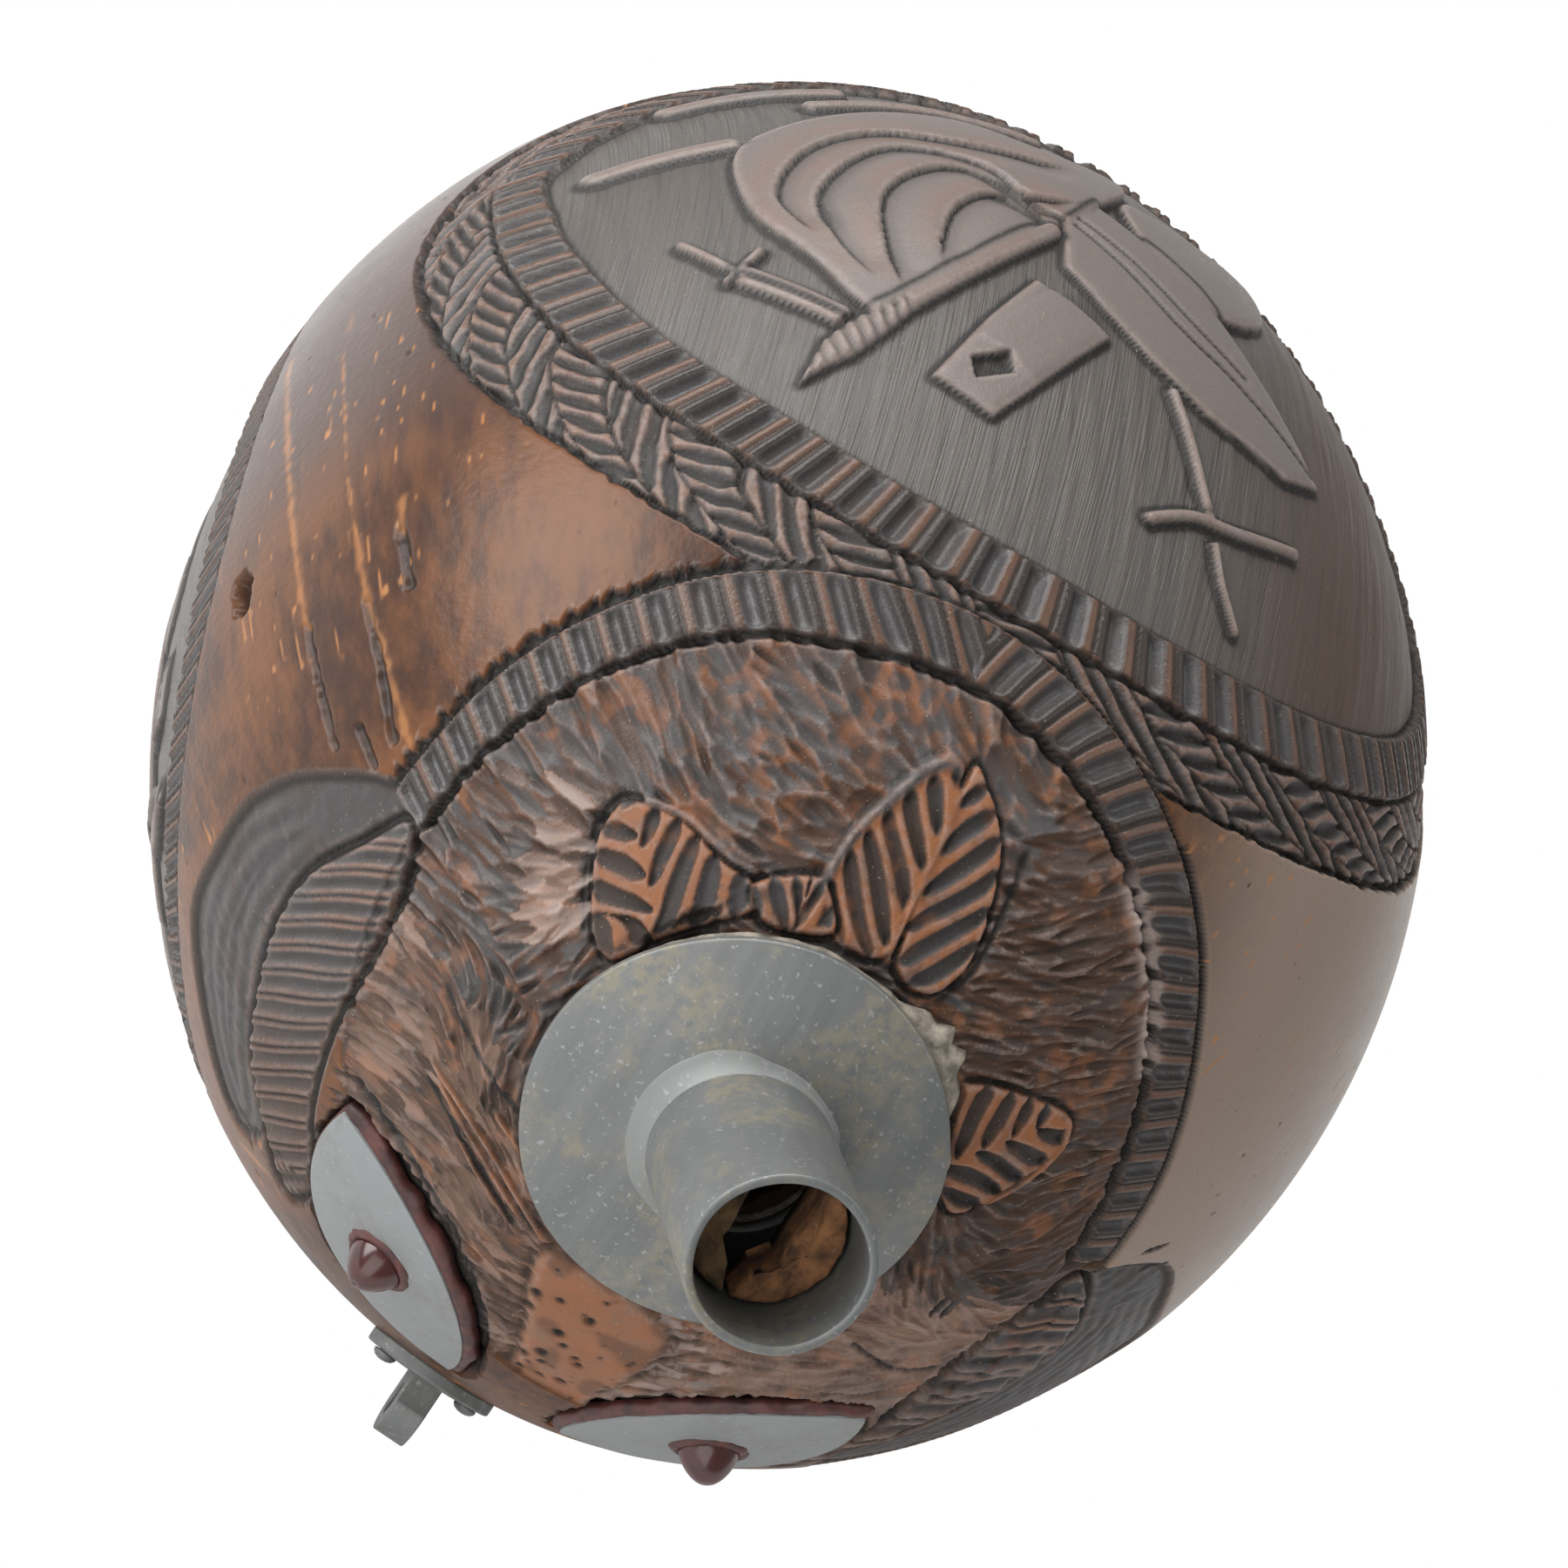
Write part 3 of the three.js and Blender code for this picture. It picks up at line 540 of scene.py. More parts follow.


# One lens-shaped gouge mark with a sharp rim on one flank, and a painted shadow darkening the other flank
def scoop(board, at, heading, length, half, depth, shade, rim=1.0):
    part = board.window([at], length / 2 + 0.2)
    x, y = board.x[part] - at[0], board.y[part] - at[1]
    along = (x * math.cos(heading) + y * math.sin(heading)) / (length / 2)
    taper = np.maximum(1 - along**2, 1e-6)
    across = (y * math.cos(heading) - x * math.sin(heading)) / (half * taper)
    within = (np.abs(along) < 1) & (np.abs(across) < 1)
    cut = depth * taper**0.5 * (1 - across**2) * (1 + 0.35 * across)
    wins = within & (-cut < board.height[part] + 0.06)
    board.height[part] = np.where(wins, np.minimum(board.height[part], -cut), board.height[part])
    board.shade[part] = np.where(wins, shade, board.shade[part])
    # Painted shadow: the flank away from the rim is darkened
    board.grimeAndShadow[part] = np.where(wins, smooth(-0.35, -0.9, across) * 0.7, board.grimeAndShadow[part])
    board.wear[part] = np.where(wins, rim * smooth(0.1, 0.8, across), board.wear[part])


# Face, drawn from the front
front = Board(-50, 50, -50, 50)
flangeAt = (-4.3, 13.6)
fur = {
    "count": 3000,
    "length": (2.8, 5.4),
    "half": (0.45, 0.95),
    "depth": (0.5, 1.05),
    "flow": [
        (-17.8, 30.2, -3), (-12.2, 32.9, 9), (-9.4, 30.8, 14), (-26.0, 23.9, 47), (-25.7, 18.2, 52),
        (-24.0, 16.1, 71),
        (-21.8, 15.7, 71), (-30.6, 17.8, -11), (-24.5, 9.6, -106), (-23.7, 3.3, -77), (-15.2, -1.7, -23),
        (-9.1, 35.3, 4),
        (5.1, 36.2, -1), (7.3, 37.5, 17), (10.3, 35.9, 20), (5.8, 34.4, 1), (11.9, 32.7, 19), (13.4, 26.6, 2),
        (1.6, 40.1, -53), (-11.4, 37.5, -8), (-8.3, 38.7, -6), (-15.3, 36.5, -8), (-10.9, 34.9, 6),
        (-6.2, 36.9, 16),
        (-6.5, 40.6, -52), (16.7, 11.6, -64), (20.3, 12.4, 23), (21.6, 12.1, 64), (17.9, 6.5, -64), (21.0, 0.2, 31),
        (14.1, -0.5, 18), (-25.2, 28.9, -18), (-28.7, 24.4, -29), (-21.3, 32.2, -20), (-28.2, 18.2, 26),
        (-29.5, 12.8, 11),
        (-28.3, 7.4, 16), (-27.2, 2.2, 44), (-23.9, -0.4, 17), (-16.5, -5.0, -29), (-11.3, -8.6, 0),
        (0.2, -17.8, 40),
        (20.6, 22.9, 13),
    ],
    # Outline of a painted sheen: strokes inside get pale tones in place of a gloss highlight
    "pale": [
        (-28.0, 20.7), (-26.2, 23.9), (-24.4, 23.9), (-22.3, 21.0), (-21.4, 17.2), (-22.0, 14.6),
        (-24.0, 14.0), (-26.3, 17.3),
    ],
}


def within(outline, at):
    odd = False
    for a, b in zip(outline, outline[1:] + outline[:1]):
        if (a[1] > at[1]) != (b[1] > at[1]) and at[0] < (b[0] - a[0]) * (at[1] - a[1]) / (b[1] - a[1]) + a[0]:
            odd = not odd
    return odd


def carveFur(board, fur):
    flow = np.array(fur["flow"], float)
    headings = np.radians(flow[:, 2])
    made = 0
    while made < fur["count"]:
        at = random.uniform([-36, -36], [34, 46])
        fromRing = math.hypot(at[0] - face["centre"][0], at[1] - face["centre"][1]) - face["radius"]
        if fromRing > -2.5 or math.hypot(at[0] - flangeAt[0], at[1] - flangeAt[1]) < 12:
            continue
        weight = np.exp(-((flow[:, 0] - at[0]) ** 2 + (flow[:, 1] - at[1]) ** 2) / 18) + 1e-9
        heading = math.atan2((weight * np.sin(headings)).sum(), (weight * np.cos(headings)).sum())
        heading += random.normal(0, 0.16)
        length, half = random.uniform(*fur["length"]), random.uniform(*fur["half"])
        depth, shade, rim = random.uniform(*fur["depth"]), random.uniform(0.0, 0.6), 0.9 * random.random() ** 2.5
        if at[1] > 24 and fromRing > -7:
            length, half, shade = length * 1.15, half * 1.2, random.uniform(0.05, 0.42)
        if at[0] > 5.5 and at[1] > 24:
            half, depth, shade, rim = half * 0.6, depth * 0.7, random.uniform(0.3, 0.5), rim * 0.5
        if at[1] < 9:
            half, depth, shade = half * 0.75, depth * 0.55, random.uniform(0.45, 0.95) + 0.15 * (at[0] > -4)
        if at[0] > 6 and at[1] < 24:
            half, depth, rim, length = half * 0.75, depth * 0.6, rim * 0.4, length * 1.2
            shade = random.uniform(0.25, 0.5) + 0.45 * (at[1] < 7)
        # Painted sheen: strokes inside the pale outline get light tones
        if within(fur["pale"], at):
            shade = random.uniform(0.5, 1.2)
        scoop(board, at, heading, length, half, depth, shade, rim)
        made += 1


carveFur(front, fur)

# Leaves round the muzzle: outline, midrib, and the slope and pitch of the cuts on its two sides
muzzle = [
    {
        "outline": [
            (-22.3, 26.5), (-18.5, 27.9), (-14.8, 27.8), (-12.1, 28.0), (-10.6, 27.3), (-13.2, 24.6),
            (-15.8, 21.7), (-18.1, 18.3), (-20.0, 18.4), (-21.8, 20.7), (-23.1, 23.3), (-23.0, 25.1),
        ],
        "rib": [(-16.6, 21.4), (-17.4, 22.7), (-19.5, 24.4), (-22.2, 26.4)],
        "slopes": (0.9, 0.55),
        "pitch": 1.75,
        "shade": 0.75,
    },
    {
        "outline": [
            (-5.9, 28.2), (-7.7, 29.7), (-6.8, 33.7), (-4.8, 37.1), (-1.9, 39.0), (-1.0, 36.0), (-1.2, 31.0),
            (-1.5, 28.2),
        ],
        "rib": [(-1.2, 27.5), (-1.2, 31.2), (-1.3, 35.6), (-1.4, 39.0)],
        "slopes": (0.9, 0.9),
        "pitch": 1.6,
        "shade": 0.55,
    },
    {
        "outline": [
            (-1.1, 39.2), (0.7, 38.6), (2.7, 37.2), (4.2, 34.8), (5.0, 30.5), (3.3, 27.7), (0.1, 28.2),
            (-0.9, 31.6), (-1.2, 35.6),
        ],
        "rib": [(-1.0, 27.5), (-1.0, 31.2), (-1.2, 35.6), (-1.3, 39.0)],
        "slopes": (0.9, 0.9),
        "pitch": 1.7,
        "shade": 0.55,
    },
    {
        "outline": [
            (8.1, 22.7), (11.6, 23.9), (18.0, 23.0), (18.9, 20.6), (17.5, 18.0), (14.5, 14.6), (12.6, 14.9),
            (9.6, 18.8),
        ],
        "rib": [(10.4, 17.6), (13.4, 19.9), (17.7, 22.5)],
        "slopes": (0.9, 0.5),
        "pitch": 1.7,
        "shade": 0.7,
    },
    {
        "outline": [(-12.1, 28.0), (-8.3, 30.4), (-6.2, 29.6), (-5.5, 28.0), (-10.0, 26.4)],
        "rib": [(-13.0, 28.2), (-9.0, 31.0), (-6.0, 30.4)],
        "slopes": (0.2, 0.2),
        "pitch": 1.5,
        "shade": 0.5,
    },
]


# Lens-shaped cuts side by side, sloping away from a midrib, with bright ridges left between them and a painted
# shadow line along one edge of each cut
def carveLeaf(board, leaf):
    outline = curveThrough(leaf["outline"], 6, closed=True)
    part, depthIn, _ = inside(board, outline)
    mask = np.zeros(board.x.shape)
    mask[part] = smooth(-0.1, 0.25, depthIn)
    border = np.full(board.x.shape, -9.0)
    border[part] = depthIn
    ribPart, away, along, side, _ = toLine(board, curveThrough(leaf["rib"], 8), 9)
    mask, border = mask[ribPart], border[ribPart]
    slope = np.where(side > 0, leaf["slopes"][0], leaf["slopes"][1])
    phase = (along - away * slope + 0.15 * np.sin(along * 1.1 + side)) / leaf["pitch"] / np.sqrt(1 + slope**2)
    phase += 0.3 * side
    cell = np.floor(phase) + side * 31
    share = fraction(phase)
    half = 0.36 * np.sqrt(np.clip(np.minimum(away, border * 1.4) / 1.1, 0.02, 1))
    lens = np.clip(1 - ((share - 0.5) / half) ** 2, 0, 1)
    board.blend(
        ribPart,
        mask,
        -0.04 - 0.5 * lens**0.7,
        # Darker inside the cuts, and a painted shadow line along one edge of each cut
        smooth(0.15, 0.7, lens) * 0.35 + 0.5 * bump(0.5 - half, 0.06, share) * (lens < 0.3),
        smooth(0.25, 0.0, lens),
        leaf["shade"] * (lens < 0.2) + (0.10 + 0.25 * (np.sin(cell * 12.9) > 0)) * (lens >= 0.2),
    )
    edge = bump(-0.1, 0.22, depthIn)
    board.height[part] -= 0.35 * edge
    board.soil(part, 0.8 * edge)


for leaf in muzzle:
    carveLeaf(front, leaf)
# Ridges along the leaves' edges: half width, lift, wear and shade
for line, half, lift, worn, tone in [
    ([(-7.8, 29.3), (-7.5, 32.0), (-6.9, 33.9), (-4.9, 37.2), (-3.1, 38.7), (-0.9, 38.9)], 0.6, 0.12, 0.0, 0.15),
    ([(-1.4, 38.8), (-1.2, 35.6), (-1.1, 31.2), (-1.1, 27.8)], 0.5, 0.1, 0.75, 0.4),
    ([(-22.0, 26.8), (-18.5, 28.1), (-14.8, 28.2), (-11.8, 28.6)], 0.35, 0.02, 0.0, 0.2),
    ([(18.2, 23.0), (19.0, 20.6), (17.5, 17.6), (15.2, 15.2)], 0.35, 0.02, 1.0, None),
]:
    ridge(front, curveThrough(line, 6), half, lift, worn, tone)
groove(front, curveThrough([
    (-22.0, 27.2), (-23.2, 25.6), (-23.5, 23.3), (-22.3, 20.4), (-20.4, 17.9),
], 6), 0.55, 0.6)
groove(front, curveThrough([(5.3, 37.2), (5.6, 34.0), (5.4, 30.0), (3.9, 27.2)], 6), 0.4, 0.5)

# Dark broken hollow under the first leaf
part, depthIn, _ = inside(front, [
    (-17.0, 21.1), (-15.2, 24.2), (-13.3, 25.7), (-12.6, 24.0), (-15.0, 21.2), (-16.9, 19.2),
])
front.height[part] -= 0.6 * smooth(-0.2, 0.5, depthIn)
front.soil(part, smooth(-0.3, 0.1, depthIn))

# Brows with double rungs, and ears with fine lines behind them
brows = [
    [
        (-34.0, 13.1), (-35.8, 8.7), (-37.5, 2.9), (-37.3, -3.1), (-35.5, -9.4), (-33.2, -14.9),
        (-29.3, -19.5), (-25.2, -23.5), (-24.6, -20.0), (-26.5, -15.9), (-28.9, -11.1), (-31.0, -3.7),
        (-31.9, 3.4), (-32.5, 9.1),
    ],
    [
        (28.4, 8.6), (30.7, 2.2), (28.7, -4.4), (25.0, -9.7), (21.8, -17.0), (19.2, -22.0), (18.6, -19.0),
        (21.5, -11.3), (22.4, -4.9), (24.1, 2.3), (26.6, 8.0),
    ],
]
ears = [
    [
        (-33.4, 14.9), (-36.3, 13.0), (-38.3, 10.6), (-40.7, 6.4), (-41.9, 2.5), (-42.3, -0.6), (-42.0, -5.8),
        (-40.6, -12.8), (-35.5, -19.5), (-30.5, -24.1), (-29.3, -21.0), (-33.2, -15.5), (-35.9, -9.5),
        (-37.6, -3.2), (-37.7, 2.8), (-36.0, 8.7),
    ],
    [
        (28.4, 9.2), (34.9, 8.0), (38.9, 0.0), (40.9, -8.0), (38.0, -15.0), (31.0, -21.0), (24.0, -25.0),
        (22.0, -20.0), (26.0, -11.0), (29.4, -4.4), (31.2, 2.2),
    ],
]
browLook = {"period": 1.93, "sunk": 0.34}


def carveEar(board, outline):
    outline = curveThrough(outline, 5, closed=True)
    part, depthIn, along = inside(board, outline)
    mask = smooth(-0.2, 0.25, depthIn)
    lines = np.sin(depthIn * 5.2 + 1.2 * np.sin(along * 0.35)) * smooth(7, 2, board.y[part])
    speck = noise(np.column_stack([board.x[part].ravel(), board.y[part].ravel()]), 0.7, 91).reshape(mask.shape)
    depth = -0.45 + 0.05 * lines + 0.2 * (speck - 0.5)
    board.blend(part, mask, depth, 0.4 - 0.2 * lines, 0.05 * smooth(0.3, 0.9, lines), 0.12)
    rim = bump(-0.2, 0.26, depthIn)
    board.height[part] -= 0.4 * rim
    board.soil(part, rim)


def carveBrow(board, outline, look):
    part, depthIn, _ = inside(board, curveThrough(outline, 5, closed=True))
    mask = smooth(-0.1, 0.15, depthIn)
    x, z = board.x[part], board.y[part]
    y = -nut["halfLength"] * np.sqrt(np.clip(1 - (x**2 + z**2) / nut["radius"] ** 2, 0, 1))
    phase = (-0.447 * x + 0.633 * y + 0.632 * z + 0.1 * np.sin(x * 1.3)) / look["period"]
    share = fraction(phase)
    hollow = np.clip(1 - ((share - 0.24) / 0.26) ** 2, 0, 1)
    line = bump(0.73, 0.05, share)
    bright = smooth(0.5, 0.56, share) * smooth(0.68, 0.62, share)
    bright += 0.8 * smooth(0.8, 0.86, share) * smooth(0.99, 0.93, share)
    board.blend(
        part,
        mask,
        -0.05 - look["sunk"] * hollow**0.7 - 0.22 * line,
        0.25 * hollow + 0.9 * line,
        bright * (0.2 + 0.4 * smooth(-12, 8, z)),
        0.2 + 0.25 * smooth(0, -16, z),
    )
    rim = bump(-0.35, 0.28, depthIn)
    board.height[part] -= 0.7 * rim
    board.soil(part, rim)
    board.wear[part] *= 1 - rim


for outline in ears:
    carveEar(front, outline)
for outline in brows:
    carveBrow(front, outline, browLook)

# Furrows and long bright scratches on the cheeks
for line in [
    [(-25.0, 3.0), (-24.1, 2.3), (-17.7, 0.2), (-10.4, -3.6)],
    [(-22.8, 0.5), (-17.6, -2.2), (-12.2, -4.6)],
    [(-23.5, 1.6), (-18.2, -0.6), (-12.8, -3.2)],
    [(-19.6, 3.3), (-15.8, 2.2)],
]:
    ridge(front, curveThrough(line, 8), 0.28, 0.05, 1.0, 0.6)
for line, width, depth in [
    ([(-24.6, 1.2), (-18.6, -1.4), (-13.2, -4.0)], 0.3, 0.4),
    ([(-27.0, 8.0), (-22.0, 5.6), (-16.5, 4.4)], 0.3, 0.3),
    ([
        (-28.5, -5.0), (-24.6, -5.6), (-21.0, -6.9), (-16.9, -8.9), (-13.4, -11.8), (-10.2, -16.0),
        (-8.6, -20.5),
    ], 0.7, 0.8),
    ([(13.0, 1.0), (18.0, -1.5), (22.0, -1.0)], 0.4, 0.4),
    ([(26.9, 9.0), (23.8, 3.0), (22.1, -4.6), (21.2, -11.2), (18.4, -18.6)], 0.8, 0.9),
]:
    groove(front, curveThrough(line, 8), width, depth, 0.3)

# Smooth pitted nose
nose = {
    "outline": [
        (-10.3, -4.6), (-8.5, -3.7), (-4.6, -3.8), (-1.5, -4.4), (0.8, -5.2), (1.6, -9.0), (1.0, -15.0),
        (0.4, -22.0), (-2.6, -24.0), (-5.6, -18.5), (-7.3, -13.1), (-9.5, -8.3),
    ],
    "pits": (14, 26),
}


def carveNose(board, nose):
    outline = [tuple(p) for p in curveThrough(nose["outline"], 6, closed=True)]
    part, depthIn, _ = inside(board, outline, 3)
    mask = smooth(-0.5, 0.5, depthIn)
    board.blend(part, mask, -0.05, 0.0, 0.8, 0.8)
    board.height[part] -= 0.2 * bump(-0.6, 0.4, depthIn)
    made = 0
    while made < sum(nose["pits"]):
        at = random.uniform([-9.5, -22], [1.5, -4])
        if not within(outline, at):
            continue
        size = random.uniform(0.28, 0.5) if made < nose["pits"][0] else random.uniform(0.1, 0.24)
        pit = board.window([at], 1.2)
        away = np.hypot(board.x[pit] - at[0], (board.y[pit] - at[1]) * random.uniform(0.8, 1.4)) / size
        board.height[pit] -= 0.7 * size * np.clip(1.2 - away, 0, 1)
        board.soil(pit, np.clip(1.6 - away, 0, 1))
        made += 1


carveNose(front, nose)
# Single short cuts beside the eyes: place and heading
for x, z, heading in [(32.6, 11.4, 14), (33.6, 8.8, 10), (14.9, 11.2, 80), (17.6, 6.1, 80), (18.6, 6.2, 70)]:
    scoop(front, (x, z), math.radians(heading), 2.6, 0.35, 0.7, 0.0, 0.0)
print("stage: face drawn")

# Top panel with its trophy of arms
top = Board(-50, 50, -34, 50)
trophy = {
    "flag": [
        (-30.1, 12.4), (-27.2, 18.3), (-20.5, 24.5), (-12.9, 28.0), (-7.1, 27.8), (1.7, 29.0), (-2.0, 19.0),
        (-6.0, 10.9), (-16.9, -5.2), (-19.2, -7.0), (-24.1, -1.8), (-28.6, 3.7),
    ],
    "folds": [
        [(-6.3, 11.5), (-11.2, 18.1), (-17.3, 18.3), (-21.3, 14.6), (-24.2, 6.9), (-22.5, 0.9), (-19.0, -3.8)],
        [(-6.3, 14.6), (-12.7, 16.9), (-17.4, 13.1), (-19.6, 7.6), (-18.8, 0.8), (-17.0, -4.2)],
        [(-6.2, 16.4), (-11.4, 13.2), (-14.1, 8.9), (-14.9, 3.8), (-14.6, 0.3)],
        [(-6.7, 24.1), (-13.2, 21.9), (-20.2, 19.6), (-25.2, 14.1), (-27.0, 6.0), (-23.6, 0.4)],
    ],
    "spear": [(-6.2, 11.0), (-13.4, -0.4), (-18.3, -7.9), (-20.7, -11.9), (-22.4, -15.6)],
    "musket": [
        ([(-32.5, -1.1), (-28.2, -4.8)], 0.5),
        ([(-27.4, -1.6), (-29.0, -5.5)], 0.45),
        ([(-27.8, -4.4), (-24.7, -5.9), (-20.9, -7.7)], 0.7),
        ([(-28.0, -5.5), (-25.0, -6.9), (-21.2, -8.7)], 0.6),
    ],
    "poles": [
        ([(-38.6, 11.4), (-30.4, 15.3)], 1.0),
        ([(-34.0, 25.2), (-28.2, 28.8), (-22.0, 31.4)], 0.9),
        ([(-24.4, 25.7), (-16.0, 29.5), (-6.0, 31.5)], 0.8),
        ([(5.7, -2.2), (7.7, -6.0), (9.6, -9.9), (11.0, -12.5)], 0.62),
        ([(5.8, -16.1), (9.4, -13.3), (13.6, -11.6), (19.5, -8.2)], 0.62),
        ([(11.9, -14.4), (13.3, -17.2), (15.5, -19.9)], 0.45),
    ],
    "blade": [
        (-5.2, 13.5), (-5.0, 6.5), (-0.6, 2.5), (3.3, -0.1), (9.0, -2.2), (17.5, -1.7), (21.5, 1.5),
        (13.9, 8.6), (7.6, 15.0), (-2.1, 19.9),
    ],
    "rails": [[
        (-4.0, 13.6), (0.0, 10.9), (5.8, 6.6), (11.7, 4.7), (20.2, 2.0),
    ], [(-3.6, 15.2), (1.4, 12.4), (7.0, 8.6), (12.4, 6.4)]],
    "shield": [(0.8, 23.7), (7.2, 25.6), (14.2, 26.1), (15.5, 21.0), (13.5, 16.0), (9.3, 12.9), (3.2, 16.2)],
    "block": [(-13.6, -12.2), (-8.4, -14.4), (-5.6, -9.6), (-0.5, -0.4), (-3.6, 1.3), (-7.2, 2.9), (-10.4, -3.9)],
    "notch": [(-11.1, -9.2), (-8.4, -7.3), (-7.7, -9.3), (-10.4, -11.2)],
}


# A flat island left standing over the sunk field
def raiseIsland(board, outline, lift=0.85, corners=True):
    part, depthIn, _ = inside(board, outline if corners else curveThrough(outline, 6, closed=True))
    mask = smooth(-0.25, 0.15, depthIn)
    crown = smooth(-0.2, 1.0, depthIn)
    board.height[part] = np.maximum(board.height[part], mask * lift * (0.78 + 0.22 * crown))
    board.grimeAndShadow[part] = np.maximum(board.grimeAndShadow[part] * (1 - mask), bump(-0.25, 0.3, depthIn))
    board.wear[part] = np.maximum(board.wear[part], 0.1 * bump(0.3, 0.22, depthIn))


def raiseBar(board, points, half, lift=0.8, wrapFrom=None, swell=0.0):
    part, away, along, side, run = toLine(board, curveThrough(points, 8), half * (1 + swell) + 1.2)
    share = along / run
    if swell:
        point = np.where(share > 0.85, np.maximum(1.05 - (share - 0.85) / 0.15, 0.08), 1.0)
        half = half * (1 + swell * smooth(0.6, 0.78, share)) * point
    shape = np.sqrt(np.clip(1 - (away / half) ** 2, 0, 1))
    if wrapFrom is not None:
        rope = smooth(wrapFrom, wrapFrom + 0.02, share)
        turns = np.sin((along + side * away * 0.55) * 2 * math.pi / 1.3)
        shape = shape * (1 - rope * 0.4 * (0.5 - 0.5 * turns))
    mask = (away < half * 1.02).astype(float)
    board.height[part] = np.maximum(board.height[part], shape * lift)
    board.grimeAndShadow[part] = np.maximum(board.grimeAndShadow[part] * (1 - mask), bump(0.2, 0.3, away - half))
    board.wear[part] = np.maximum(board.wear[part], mask * 0.25 * shape**3)


def carveTrophy(board, trophy):
    raiseIsland(board, trophy["flag"], lift=0.95, corners=False)
    for fold in trophy["folds"]:
        line, away, along, side, run = toLine(board, curveThrough(fold, 8), 3.4)
        on = smooth(0, 3.0, run - along) * (board.height[line] > 0.3)
        board.height[line] -= on * (0.16 * bump(0, 0.3, away) + 0.5 * bump(0.1, 2.4, away) * (side < 0))
        board.wear[line] = np.maximum(board.wear[line], on * 0.3 * bump(1.2, 1.0, away) * (side > 0))
    raiseIsland(board, trophy["shield"], corners=False)
    raiseIsland(board, trophy["blade"], lift=0.7)
    for rail in trophy["rails"]:
        line, away, along, side, run = toLine(board, curveThrough(rail, 8), 2.0)
        board.height[line] -= 0.4 * bump(0.0, 0.3, away)
        board.soil(line, bump(0.0, 0.25, away) * 0.9)
    raiseIsland(board, trophy["block"], lift=0.7)
    line, away, along, side, run = toLine(board, [(-9.2, -9.2), (-3.0, 1.0)], 3.4)
    swell = np.clip(1 - (away / 3.0) ** 2, 0, 1) ** 0.5 * smooth(1.2, 1.5, along)
    board.height[line] += 0.22 * swell
    hole, depthIn, _ = inside(board, trophy["notch"])
    board.height[hole] -= 0.75 * smooth(-0.1, 0.2, depthIn)
    board.soil(hole, smooth(-0.2, 0.1, depthIn))
    for points, half in trophy["musket"] + trophy["poles"]:
        raiseBar(board, points, half)
    raiseBar(board, trophy["spear"], 1.0, 0.95, wrapFrom=0.6, swell=0.45)


carveTrophy(top, trophy)
print("stage: top panel drawn")


# Shell grid, finer on the side that the photograph shows
def spaced(stops, counts):
    parts = [np.linspace(a, b, n, endpoint=False) for a, b, n in zip(stops, stops[1:], counts)]
    return np.radians(np.concatenate(parts))


shellGrid = {
    "azimuthStops": (-127, 83, 233),
    "azimuthCounts": (880, 150),
    "latitudeStops": (-89.2, -74, -31, 34, 89.2),
    "latitudeCounts": (45, 225, 310, 80),
}
azimuths = spaced(shellGrid["azimuthStops"], shellGrid["azimuthCounts"])
latitudes = spaced(shellGrid["latitudeStops"], shellGrid["latitudeCounts"])
azimuthGrid, latitudeGrid = np.meshgrid(azimuths, latitudes)
surface = nutPoint(azimuthGrid, latitudeGrid).reshape(-1, 3)
normals = nutNormal(azimuthGrid, latitudeGrid).reshape(-1, 3)
px, py, pz = surface.T


# Distance from an oval ring along the surface, and the length run round it
def ringField(azimuth, centre, radii, fromFront=False):
    turn = math.radians(azimuth)
    if fromFront:
        right, up, out = np.array([1.0, 0, 0]), np.array([0.0, 0, 1]), np.array([0.0, -1, 0])
    else:
        right, up = np.array([math.cos(turn), 0, -math.sin(turn)]), np.array([0.0, 1, 0])
        out = np.array([math.sin(turn), 0, math.cos(turn)])
    u, v = surface @ right, surface @ up
    du, dv = (u - centre[0]) / radii[0], (v - centre[1]) / radii[1]
    q = np.hypot(du, dv) + 1e-9
    slope = (du / radii[0] / q)[:, None] * right + (dv / radii[1] / q)[:, None] * up
    along = np.einsum("ij,ij->i", slope, normals)
    steep = np.sqrt(np.maximum((slope**2).sum(1) - along**2, 1e-8))
    away = np.where(surface @ out > 0, (q - 1) / steep, 99.0)
    angle = np.arctan2(dv, du)
    table = np.linspace(-math.pi, math.pi, 721)
    ring = (centre[0] + radii[0] * np.cos(table))[:, None] * right
    ring = ring + (centre[1] + radii[1] * np.sin(table))[:, None] * up
    ring = dropOnNut(ring + out * 60, -out)
    run = np.concatenate([[0], np.cumsum(np.linalg.norm(np.diff(ring, axis=0), axis=1))])
    return away, np.interp(angle, table, run), u, v


wobble = noise(surface, 1.6, 3) - 0.5
jag = noise(surface, 0.7, 4) - 0.5
height, grimeAndShadow, wear, fieldMask, carved, pale, rung = np.zeros((7, len(surface)))
shade = np.full(len(surface), 0.4)
rungAcross = np.full(len(surface), 3.0)


def lay(mask, newHeight, newGrimeAndShadow, newWear, newShade=0.3):
    global height, grimeAndShadow, wear, shade, carved
    height = height * (1 - mask) + newHeight * mask
    grimeAndShadow = grimeAndShadow * (1 - mask) + np.clip(newGrimeAndShadow, 0, 1) * mask
    wear = wear * (1 - mask) + np.clip(newWear, 0, 1) * mask
    shade = shade * (1 - mask) + newShade * mask
    carved = np.maximum(carved, mask)


rungs = {"hollow": (0.0, 0.5), "sunk": 0.95, "line": 0.76, "lineDepth": 0.3}
